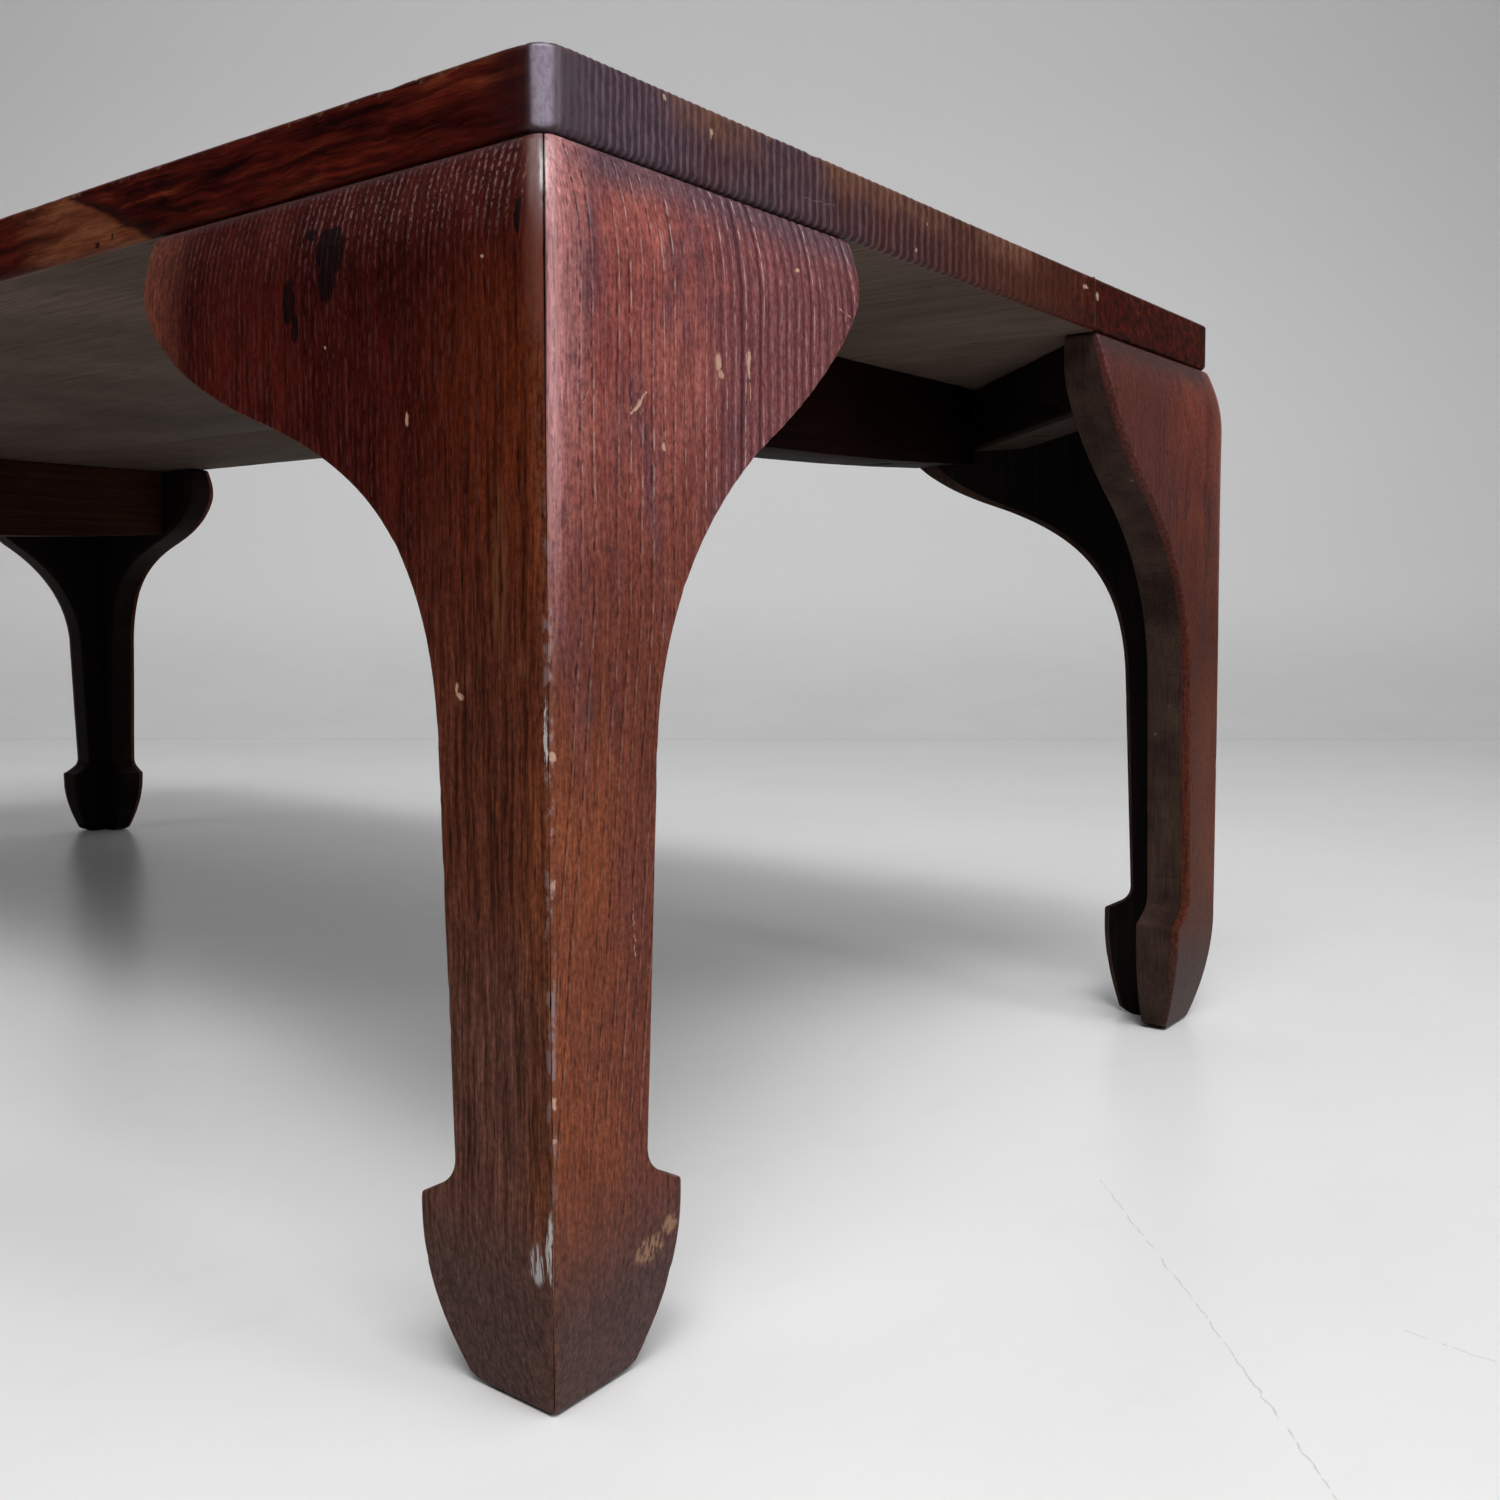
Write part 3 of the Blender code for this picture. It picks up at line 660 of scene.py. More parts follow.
END_SMUDGES = (((505, -212.7, 276.0), (4, 1.6, 11)), ((505, -216.9, 258.3), (4, 2.4, 1.6)),
               ((505, -205.5, 214.8), (4, 4.2, 1.0)), ((505, -213.0, 175.6), (4, 3.4, 3.2)),
               ((505, -220.7, 222.1), (4, 1.6, 4.0)), ((505, -191.5, 243.0), (4, 1.2, 1.6)),
               ((505, -182.5, 228.5), (4, 2.0, 1.3)), ((505, -201.5, 119.0), (4, 2.6, 0.8)))
END_WORN = (((505, -190.5, 36.0), (8, 7.5, 4.6)), ((505, -183.0, 40.0), (8, 3.6, 3.4)))


def end_board_finish():
    material, shader, place = start_finish("end_board_wood")
    x, y, z = axes(place)
    across = HALF_WIDTH - abs(y)
    shaken = ragged(place, 0.0022, 0.0022)
    arris = own_value(place, "arris")
    cloud = noise(stretch(place, 1, 1, 0.7), 42, 4.0, 0.65, 1.0)
    violet = noise(stretch(place, 1, 1, 0.2), 95, 3.0, 0.6, 2.0)
    streak = fibres(place, 2, 0.0011, 0.02, 3.0)
    hair = fibres(place, 2, 0.00045, 0.006, 4.0)
    mottle = noise(stretch(place, 1, 1, 0.6), 800, 3.0, 0.65, 9.0)
    nose = ease(across, 0.045, 0.08) * ease(z, 0.19, 0.24)
    bracket = ease(z, 0.15, 0.25)
    from_mitre = across - (HALF_LENGTH - abs(x))
    dotted = fibres(place, 2, 0.001, 0.0036, 5.0, 3.0)
    luck = ring_luck(place)
    fading = ease(noise(stretch(place, 1, 1, 0.35), 75, 2.0, 0.5, 10.0), 0.36, 0.6, 0.25, 1.0)
    hard_line = ring_band(place, 0.76, 0.86, 0.88, 0.97) * ease(dotted, 0.44, 0.6)
    hard_line = hard_line * ease(luck, 0.1, 0.8, 0.4, 1.0)
    groove = ring_band(place, 0.14, 0.34, 0.5, 0.7) * nose * ease(luck, 0.0, 1.0, 0.5, 1.0)
    soft_line = ring_band(place, 0.58, 0.66, 0.72, 0.8) * ease(dotted, 0.56, 0.44) * ease(z, 0.03, 0.08)
    dark_pore = pores(place, 2, 0.0009, 0.0055, 0.2, 6.0)
    row_pore = pores(place, 2, 0.0012, 0.007, 0.6, 7.0) * ring_band(place, 0.88, 0.96, 0.97, 1.0)

    near = ease(y, 0.1, 0.0)
    flake = pores(place, 2, 0.0028, 0.015, 0.16, 20.0) * bracket * near * (1 - nose)
    line_strength = ease(bracket, 0.0, 1.0, 0.5, 0.85) * ease(z, 0.03, 0.08) * fading + nose * 0.25
    line_strength = line_strength + ease(z, LEG_TOP - 0.03, LEG_TOP - 0.012) * 0.15
    smudge = marks(shaken, END_SMUDGES) * ease(streak, 0.25, 0.62, 1.0, 0.35)
    worn = marks(shaken, END_WORN) * ease(fibres(place, 2, 0.0012, 0.003, 8.0), 0.42, 0.56)
    rubbed = tint((0.15, 0.058, 0.034), (0.26, 0.115, 0.105), ease(z, 0.16, 0.25))
    chip = larger(marks(shaken, END_CHIPS) * ease(hair, 0.3, 0.44), scratches(shaken, END_SCRATCHES))
    colour = paint(
        tint((0.19, 0.052, 0.045), (0.31, 0.098, 0.078), ease(cloud, 0.32, 0.66)),
        # browner down the shank, orange beside the mitre and grey at the foot
        ((0.113, 0.031, 0.0158), ease(z, 0.28, 0.18) * 0.9),
        ((0.195, 0.055, 0.022),
         ease(z, 0.2, 0.14) * ease(across, 0.034, 0.012) * ease(cloud, 0.3, 0.6, 0.3, 0.9)),
        ((0.064, 0.036, 0.032), ease(z, 0.07, 0.022) * 0.9),
        # violet clouds, the nose, and a violet-grey painted sheen on the roll under the top
        ((0.1, 0.042, 0.05), ease(violet, 0.47, 0.66) * ease(z, 0.14, 0.24, 0.15, 0.8)),
        ((0.165, 0.06, 0.062), nose * 0.8),
        ((0.105, 0.06, 0.072), ease(z, LEG_TOP - 0.013, LEG_TOP - 0.003) * 0.85),
        # a pink painted highlight down the rounded corner by the mitre, and grey flakes
        ((0.34, 0.14, 0.13), ease(from_mitre, 0.018, 0.008) * ease(z, 0.2, 0.27) * 0.7),
        ((0.56, 0.27, 0.27), ease(from_mitre, 0.008, 0.0025) * ease(z, 0.17, 0.26) * 0.8),
        ((0.095, 0.07, 0.078), flake * ease(hair, 0.35, 0.6) * 0.65),
        shading(streak, (0.74, 0.7, 0.72), (1.22, 1.22, 1.2), 0.85),
        shading(hair, (0.7, 0.66, 0.68), (1.28, 1.3, 1.3), 0.9),
        shading(mottle, (0.62, 0.6, 0.63), (1.36, 1.38, 1.38), 0.95),
        # grooves and lines of the rings, and the pores
        ((0.4, 0.34, 0.44), groove * near, "MULTIPLY"),
        ((0.34, 0.28, 0.3), soft_line * ease(luck, 0.1, 0.9, 0.35, 1.0) * (1 - nose) * near, "MULTIPLY"),
        (tint((0.29, 0.17, 0.12), (0.41, 0.28, 0.27), bracket), hard_line * line_strength * near),
        ((0.022, 0.008, 0.009), larger(dark_pore * 0.5, row_pore * 0.7)),
        # painted shade: the two far legs darker than the near ones
        (tint((0.58, 0.5, 0.43), (0.46, 0.36, 0.27), bracket), 1 - near, "MULTIPLY"),
        # marks of use
        ((0.045, 0.024, 0.03), smudge * 0.7),
        ((0.3, 0.17, 0.105), worn * 0.85),
        (rubbed, arris * ease(mottle, 0.4, 0.65) * ease(near, 0.0, 1.0, 0.15, 0.6)),
        ((0.52, 0.31, 0.22), chip * 0.85),
        # pale dents on the shank's edge, their paleness painted glints
        ((0.27, 0.19, 0.19), edge_nick_glints(place, from_mitre, z) * near * 0.7),
        ((0.012, 0.007, 0.008), mitre_line(from_mitre, z)),
    )

    gloss = ease(streak, 0.2, 0.8, 0.36, 0.46) + chip * 0.3 + worn * 0.2 + dark_pore * 0.2
    relief = hard_line * 0.00012 - groove * 0.0001 + hair * 0.00006 + streak * 0.00005
    relief = relief - dark_pore * 0.0001 - chip * 0.0003
    coat = arris * ease(across, 0.02, 0.01) * ease(z, 0.16, 0.25, 0.04, 0.6)
    coat = coat + ease(z, LEG_TOP - 0.022, LEG_TOP - 0.004, 0.03, 0.25)
    close_finish(shader, colour, gloss, relief, 0.05, coat)
    return material


end_board_wood = end_board_finish()
print(end_board_wood.name, "has", len(end_board_wood.node_tree.nodes), "nodes")

# %% [markdown]
# ## Finish of the long boards
#
# The long boards stayed dark: deep red-brown under the top, browner down the shank, with pores that have
# filled with pale dust. A band beside the mitre and the nose of the bracket are rubbed to orange, and a few
# black stains lie under the finish.

# %% Wood of the long boards
LONG_STAINS = (((425.2, -226, 286.0), (4.0, 4, 7.0)), ((427.8, -226, 293.0), (4.2, 4, 8.0)),
               ((422.8, -226, 293.5), (3.6, 4, 4.6)), ((424.0, -226, 297.0), (4.6, 4, 2.6)),
               ((408.8, -226, 281.5), (2.8, 4, 6.8)), ((411.6, -226, 274.5), (1.8, 4, 4.2)),
               ((417.0, -225, 298.6), (2.6, 4, 1.6)), ((496.0, -226, 291.0), (1.3, 4, 5.5)))
LONG_CHIPS = (((456.7, -226, 247.2), (0.8, 4, 2.3)), ((484.6, -226, 283.1), (0.6, 4, 0.6)),
              ((424.5, -226, 268.1), (0.5, 4, 0.6)), ((474.8, -226, 179.0), (1.6, 4, 1.0)),
              ((473.8, -226, 180.6), (0.6, 4, 1.8)))
LONG_SCUFFS = (((499.4, -225, 44.0), (2.9, 5, 6.5)), ((502.8, -225, 47.0), (0.8, 5, 7)),
               ((503.9, -225, 48.0), (0.7, 5, 12)), ((503.6, -225.6, 171.0), (0.6, 3, 11)))
LONG_RUBBED = (((497.8, -226, 186.0), (4.5, 4, 3.0)), ((489.0, -226, 210.0), (3.0, 4, 26)))


def long_board_finish():
    material, shader, place = start_finish("long_board_wood")
    x, y, z = axes(place)
    across = HALF_LENGTH - abs(x)
    shaken = ragged(place, 0.003, 0.0024)
    wander = ragged(place, 0.02, (0.0035, 0.0035, 0.0))
    arris = own_value(place, "arris")
    cloud = noise(stretch(place, 1, 1, 0.5), 26, 4.0, 0.6, 11.0)
    streak = fibres(wander, 2, 0.0015, 0.04, 12.0)
    hair = fibres(wander, 2, 0.0005, 0.009, 13.0)
    mottle = noise(stretch(place, 1, 1, 0.6), 800, 3.0, 0.65, 18.0)
    from_mitre = across - (HALF_WIDTH - abs(y))
    pore_row = ring_band(place, 0.04, 0.34, 0.42, 0.76) * ease(ring_luck(place), 0.0, 0.7, 0.45, 1.0)
    dash = ease(fibres(place, 2, 0.0008, 0.0036, 14.0, 2.0), 0.46, 0.6) * ease(pore_row, 0.0, 0.9, 0.15, 1.0)
    dot = ease(fibres(place, 2, 0.0008, 0.0014, 15.0, 2.0), 0.48, 0.58) * ease(pore_row, 0.2, 0.8)
    dark_pore = pores(wander, 2, 0.0012, 0.01, 0.5, 16.0) * (1 - pore_row)
    top_dots = ease(z, LEG_TOP - 0.028, LEG_TOP - 0.009)
    shank = ease(z, 0.25, 0.16)
    by_mitre = ease(from_mitre, 0.013, 0.003)

    glow = ease(across, 0.06, 0.006) * ease(z, 0.3, 0.262) * ease(cloud, 0.25, 0.55, 0.4, 1.0)
    rub = by_mitre * ease(z, 0.28, 0.22) * ease(cloud, 0.34, 0.58, 0.3, 1.0)
    strength = ease(z, 0.29, 0.2, 0.55, 1.0) * ease(z, 0.03, 0.07, 0.4, 1.0)
    stain = marks(shaken, LONG_STAINS, 0.2) * ease(hair, 0.36, 0.66, 1.0, 0.7)
    scuff = marks(shaken, LONG_SCUFFS) * ease(fibres(place, 2, 0.0007, 0.009, 17.0), 0.46, 0.56)
    chip = marks(shaken, LONG_CHIPS) * ease(hair, 0.3, 0.44)
    colour = paint(
        tint((0.018, 0.0014, 0.0013), (0.052, 0.0056, 0.0031), ease(cloud, 0.32, 0.66)),
        # a warm glow near the corner, then browner down the shank
        ((0.072, 0.012, 0.0032), glow),
        ((0.072, 0.02, 0.01), shank * 0.9),
        ((0.089, 0.0355, 0.0235), ease(z, 0.14, 0.09) * 0.9),
        (tint((0.132, 0.037, 0.014), (0.125, 0.026, 0.0085), ease(z, 0.12, 0.2)), rub * 0.65),
        # rubbed nose and dull foot
        ((0.13, 0.038, 0.024), ease(across, 0.14, 0.166) * ease(cloud, 0.25, 0.5, 0.5, 1.0) * 0.85),
        ((0.068, 0.037, 0.031), ease(z, 0.062, 0.03) * 0.85),
        shading(streak, (0.34, 0.28, 0.24), (1.66, 1.74, 1.8), strength),
        shading(hair, (0.58, 0.54, 0.54), (1.38, 1.42, 1.42), 0.9),
        shading(mottle, (0.6, 0.58, 0.58), (1.32, 1.34, 1.34), 0.85),
        # dust in the rows of pores
        ((0.098, 0.029, 0.024), dash * ease(z, 0.15, 0.24, 0.12, 0.45)),
        ((0.18, 0.105, 0.1), dot * top_dots * ease(across, 0.13, 0.05, 0.2, 0.75)),
        ((0.006, 0.0012, 0.001), dark_pore * 0.65),
        # rubbed places, black stains, violet-grey painted sheen on the rim under the top and a violet painted
        # highlight by the mitre
        ((0.12, 0.046, 0.019), marks(shaken, LONG_RUBBED) * ease(streak, 0.4, 0.62) * 0.8),
        ((0.002, 0.0015, 0.002), stain * 0.95),
        ((0.056, 0.03, 0.031), ease(z, LEG_TOP - 0.004, LEG_TOP - 0.0005) * 0.6),
        ((0.135, 0.04, 0.029), ease(from_mitre, 0.009, 0.002) * ease(z, 0.25, 0.28) * 0.8),
        ((0.21, 0.145, 0.165), ease(from_mitre, 0.005, 0.0015) * ease(z, 0.28, 0.302) * 0.75),
        ((0.125, 0.047, 0.026), arris * ease(mottle, 0.35, 0.65) * 0.4),
        # marks of use
        ((0.42, 0.4, 0.39), scuff * 0.85),
        ((0.46, 0.27, 0.17), chip * 0.85),
        # pale dents on the shank's edge, their paleness painted glints
        ((0.19, 0.12, 0.12), edge_nick_glints(place, from_mitre, z) * ease(y, 0.1, 0.0) * 0.6),
        ((0.012, 0.007, 0.008), mitre_line(from_mitre, z)),
    )

    gloss = ease(streak, 0.2, 0.8, 0.4, 0.5) + larger(chip, scuff) * 0.3
    relief = hair * 0.00007 + streak * 0.00007 + dash * 0.00005 - dark_pore * 0.0001 - chip * 0.0003
    coat = arris * ease(across, 0.02, 0.01) * ease(z, 0.276, 0.3, 0.02, 0.9) + top_dots * 0.03
    close_finish(shader, colour, gloss, relief, 0.02, coat)
    return material


long_board_wood = long_board_finish()
print(long_board_wood.name, "has", len(long_board_wood.node_tree.nodes), "nodes")

# %% [markdown]
# ## Sawn edges and inner faces
#
# Nobody polished the edge that the saw left, nor the faces inside the frame. The edges are brown with faint
# saw lines, with painted shade that darkens them towards the left end. The insides of the legs are painted
# near black as painted shade, and the insides are dry, so they scatter light instead of shining.

# %% Wood of the sawn edges and the insides
def sawn_finish():
    material, shader, place = start_finish("sawn_edge_wood")
    streak = fibres(place, 2, 0.0009, 0.012, 21.0)
    cloud = noise(place, 30, 3.0, 0.55, 22.0)
    saw = noise(stretch(place, 0.12, 0.12, 1.0), 650, 2.0, 0.5, 23.0)
    speck = pores(place, 2, 0.0022, 0.003, 0.06, 24.0)
    colour = paint(
        tint((0.024, 0.013, 0.01), (0.052, 0.03, 0.023), ease(cloud, 0.35, 0.65)),
        (tint((0.6, 0.58, 0.56), (1.25, 1.25, 1.22), ease(streak, 0.3, 0.7)), 0.8, "MULTIPLY"),
        ((0.02, 0.011, 0.009), ease(saw, 0.56, 0.72) * 0.45),
        ((0.2, 0.13, 0.09), speck * 0.6),
        # painted shade: the sawn edges darken towards the left end of the table
        ((0.25, 0.22, 0.22), ease(axes(place)[0], 0.1, -0.2), "MULTIPLY"),
    )
    close_finish(shader, colour, ease(streak, 0.2, 0.8, 0.52, 0.64), streak * 0.00008 + saw * 0.00007, 0.05)
    return material


def inside_finish(name, along, dark, light, seed, painted_shade_above=None):
    """Raw inner face of a board whose grain runs along one axis, with painted shade above a height if one is
    given.
    """
    material, shader, place = start_finish(name)
    streak = fibres(place, along, 0.0024, 0.1, seed)
    hair = fibres(place, along, 0.0006, 0.02, seed + 1)
    cloud = noise(place, 9, 3.0, 0.55, seed + 2)
    pore = pores(place, along, 0.001, 0.012, 0.35, seed + 3)
    colour = tint(dark, light, ease(cloud, 0.34, 0.68) * 0.5 + ease(streak, 0.3, 0.72) * 0.5)
    colour = tint(colour, tint((0.7, 0.7, 0.7), (1.2, 1.2, 1.2), ease(hair, 0.3, 0.7)), 0.8, "MULTIPLY")
    colour = tint(colour, tuple(0.35 * c for c in dark), pore * 0.55)
    if painted_shade_above is not None:
        # painted shade above the given height, so only the lowest band stays lit
        painted_shade_mask = ease(axes(place)[2], painted_shade_above, painted_shade_above + 0.002)
        colour = tint(colour, (0.14, 0.12, 0.12), painted_shade_mask, "MULTIPLY")
    relief = hair * 0.00008 + streak * 0.0001 - pore * 0.0001
    close_finish(shader, colour, ease(streak, 0.2, 0.8, 0.6, 0.72), relief, 0.03)
    return material


sawn_edge_wood = sawn_finish()
# the insides of the legs are painted near black as painted shade
inside_leg_wood = inside_finish("inside_leg_wood", 2, (0.003, 0.0022, 0.002), (0.009, 0.0066, 0.0055), 31.0)
underside_wood = inside_finish("underside_wood", 0, (0.047, 0.031, 0.023), (0.118, 0.083, 0.065), 36.0)
print(sawn_edge_wood.name, inside_leg_wood.name, underside_wood.name)

# %% [markdown]
# ## Finish of the top
#
# The top's boards run along the table. Their ends show the rings as upright ridges, violet-brown with an
# orange worn upper arris. Their long edges show the same rings cut lengthwise, as flowing bands in dark red,
# with one patch of pale sapwood. The upper face is out of the photo's sight, so it gets the long straight grain
# that such ends belong to, and a little wax. One material does all three: the mesh says where the end grain is.

# %% Wood of the top boards
TOP_CHIPS = (((499.5, -158.4, 325.6), (4, 0.8, 1.8)), ((499.5, -177.5, 329.7), (4, 1.0, 1.0)),
             ((499.5, 78.4, 326.7), (4, 3.2, 1.0)), ((499.5, 90.0, 324.8), (4, 1.8, 2.2)),
             ((499.5, -52.4, 315.9), (4, 0.7, 0.8)), ((499.5, -45.4, 325.3), (4, 0.5, 0.8)),
             ((411.0, -220.5, 331.6), (3, 4, 0.6)), ((454.0, -220.5, 331.7), (3, 4, 0.6)))
TOP_SCRATCHES = (((499.5, -116.0, 318.4), (499.5, -99.0, 319.6), 0.25),)
TOP_HOLES = (((303.2, -220.5, 313.4), (1.4, 4, 1.2)), ((312.1, -220.5, 314.4), (0.9, 4, 1.1)))


def top_finish():
    material, shader, place = start_finish("top_wood")
    x, y, z = axes(place)
    shaken = ragged(place, 0.0025, 0.0025)
    wander = ragged(place, 0.03, (0.0, 0.008, 0.008))
    arris = own_value(place, "arris")
    end_grain = own_value(place, "ridged")
    ridge = ring_band(place, 0.2, 0.6, 0.68, 1.0)
    band = fibres(wander, 0, 0.0042, 0.05, 41.0, 5.0)
    hair = fibres(place, 0, 0.0007, 0.014, 42.0)
    cloud = noise(stretch(place, 0.5, 1, 1), 30, 4.0, 0.6, 43.0)
    mottle = noise(stretch(place, 1, 1, 0.5), 700, 3.0, 0.65, 46.0)
    dot = pores(place, 0, 0.0008, 0.009, 0.4, 44.0)
    high = ease(z, HEIGHT - 0.012, HEIGHT - 0.003)
    front = ease(y, -0.1, -0.15)

    sap_edge = x + (z - HEIGHT) * 2.43 + (band - 0.5) * 0.02 + (cloud - 0.5) * 0.012
    sap = ease(sap_edge, 0.285, 0.279) * ease(x + (cloud - 0.5) * 0.07 + (band - 0.5) * 0.04, 0.245, 0.282) * front
    dark_seam = ease(sap_edge, 0.281, 0.284) * ease(sap_edge, 0.284, 0.296, 1.0, 0.0) * front

    upper = ease(z, HEIGHT - 0.0014, HEIGHT - 0.0004)
    broad = fibres(ragged(place, 0.15, (0.0, 0.01, 0.0)), 0, 0.012, 0.5, 48.0, 5.0)
    drift = noise(stretch(place, 0.22, 1, 1), 14, 2.0, 0.5, 49.0) - 0.5
    growth = abs(place.maths("FRACT", (y + drift * 0.03) * 190) - 0.5) * 2
    plank = paint(
        tint((0.026, 0.007, 0.0045), (0.078, 0.0225, 0.012), ease(broad, 0.34, 0.66)),
        # the narrow board is a little darker
        ((0.8, 0.76, 0.74), ease(y, wide_high.y - 0.0002, wide_high.y + 0.0002), "MULTIPLY"),
        shading(growth, (0.66, 0.6, 0.58), (1.22, 1.25, 1.25), 0.75),
        shading(fibres(place, 0, 0.0012, 0.07, 50.0), (0.6, 0.56, 0.55), (1.4, 1.44, 1.44), 0.85),
        shading(hair, (0.72, 0.7, 0.7), (1.26, 1.28, 1.28), 0.8),
        ((0.12, 0.052, 0.031), ease(noise(place, 8, 5.0, 0.65, 52.0), 0.54, 0.72) * 0.35),
        ((0.008, 0.003, 0.0022), pores(place, 0, 0.0008, 0.013, 0.35, 51.0) * 0.55),
    )
    side = paint(
        tint((0.0075, 0.0006, 0.0006), (0.05, 0.005, 0.0026), ease(band, 0.36, 0.6)),
        ((0.105, 0.022, 0.0085), ease(band, 0.52, 0.66) * ease(cloud, 0.44, 0.62) * 0.75),
        shading(fibres(wander, 0, 0.0016, 0.03, 47.0), (0.42, 0.36, 0.34), (1.55, 1.6, 1.6), 0.9),
        # the patch of sapwood and its dark seam
        ((0.012, 0.004, 0.003), dark_seam * 0.75),
        (tint((0.092, 0.024, 0.0095), (0.15, 0.05, 0.022), ease(band, 0.35, 0.65)), sap * 0.95),
        shading(hair, (0.62, 0.58, 0.58), (1.36, 1.4, 1.4), 0.8),
        ((0.006, 0.002, 0.002), dot * 0.45),
        ((0.01, 0.004, 0.003), marks(shaken, TOP_HOLES, 0.3) * 0.9),
        (plank, upper),
    )

    back = ease(y, -0.2, 0.04)
    worn_top = high * ease(cloud, 0.38, 0.58) * ease(y, -0.2, -0.15) * ease(y, 0.0, 0.08, 1.0, 0.3)
    end = paint(
        tint((0.078, 0.051, 0.064), (0.06, 0.0195, 0.0115), back),
        ((0.078, 0.026, 0.018), ease(cloud, 0.45, 0.68) * ease(y, -0.2, -0.12) * 0.6),
        ((0.04, 0.014, 0.01), ease(band, 0.5, 0.62) * ease(y, 0.06, 0.11) * 0.7),
        shading(ridge, (0.6, 0.54, 0.56), (1.34, 1.38, 1.38), ease(y, -0.06, 0.07, 0.9, 0.12)),
        ((0.15, 0.068, 0.042), worn_top * ease(ridge, 0.0, 0.8, 0.45, 0.9)),
        shading(mottle, (0.58, 0.56, 0.6), (1.36, 1.38, 1.38), 0.8),
        ((0.012, 0.006, 0.007), dot * 0.35),
    )

    worn_arris = arris * ease(noise(place, 240, 3.0, 0.6, 45.0), 0.54, 0.68)
    worn_arris = worn_arris * ease(z, UNDERSIDE + 0.008, UNDERSIDE + 0.016)
    worn_arris = worn_arris * ease(abs(y - wide_high.y), 0.003, 0.008)
    to_corner = (wide_high.x - x) + (y - wide_low.y)
    # painted sheen on the end grain and painted shade on the long edge, around the rounded corner
    corner_sheen_and_shade = tint((0.017, 0.0045, 0.005), (0.07, 0.051, 0.062), ease(end_grain, 0.12, 0.45))
    # painted highlight down the middle of the rounded corner
    corner = ease(to_corner, 0.0058, 0.005)
    chip = larger(marks(shaken, TOP_CHIPS) * ease(mottle, 0.36, 0.48), scratches(shaken, TOP_SCRATCHES) * 0.35)
    colour = paint(
        tint(side, end, ease(end_grain, 0.12, 0.45)),
        ((0.15, 0.075, 0.05), worn_arris * 0.55),
        (corner_sheen_and_shade, ease(to_corner, 0.024, 0.008) * ease(mottle, 0.3, 0.6, 0.4, 0.8)),
        ((0.27, 0.23, 0.285), corner * ease(mottle, 0.3, 0.6, 0.55, 0.95)),
        ((0.42, 0.29, 0.21), chip * 0.85),
    )

    gloss = ease(band, 0.2, 0.8, 0.34, 0.46) + chip * 0.3
    relief = hair * 0.00006 + band * 0.00008 + mottle * 0.00004 - chip * 0.0003 - dot * 0.00006
    coat = upper * 0.12 + ease(to_corner, 0.01, 0.006) * 0.25
    coat = coat + ease(end_grain, 0.12, 0.45) * ease(y, 0.05, -0.14, 0.03, 0.14)
    close_finish(shader, colour, gloss, relief, 0.02, coat)
    return material


top_wood = top_finish()
print(top_wood.name, "has", len(top_wood.node_tree.nodes), "nodes")

# %% [markdown]
# ## Working the boards by hand
#
# A planed board is never quite flat, its arrises get knocked, and soft wood wears down between its hard
# rings. One Geometry Nodes tree does all three to every board: it moves each point along its normal by a slow
# waver, by chips on the arrises and by the ridges of the rings. Its sizes are named inputs, so a quiet leg
# and a ridged top use the same tree. The tree also stores the ring's number for the materials.

# %% Tree that works a board
WORK_SIZES = {"Waver": 0.0003, "Waver Size": 0.06, "Chip": 0.0006, "Chip Size": 0.008, "Ring Pitch": 0.0028,
              "Ring Waver": 0.003, "Ring Ripple": 0.0028, "Ripple Squash": 0.1, "Ridge": 0.0001, "Seed": 1.0}


def start_tree(name, sizes, materials):
    """New tree with a geometry, sizes and materials as named inputs. Returns it and its inputs as wires."""
    tree = bpy.data.node_groups.new(name, "GeometryNodeTree")
    tree.interface.new_socket("Geometry", in_out="INPUT", socket_type="NodeSocketGeometry")
    for size_name, size in sizes.items():
        tree.interface.new_socket(size_name, in_out="INPUT", socket_type="NodeSocketFloat").default_value = size
    for material_name in materials:
        tree.interface.new_socket(material_name, in_out="INPUT", socket_type="NodeSocketMaterial")
    tree.interface.new_socket("Geometry", in_out="OUTPUT", socket_type="NodeSocketGeometry")
    inputs = tree.nodes.new("NodeGroupInput").outputs
    return tree, {output.name: Wire(output) for output in inputs if output.name}


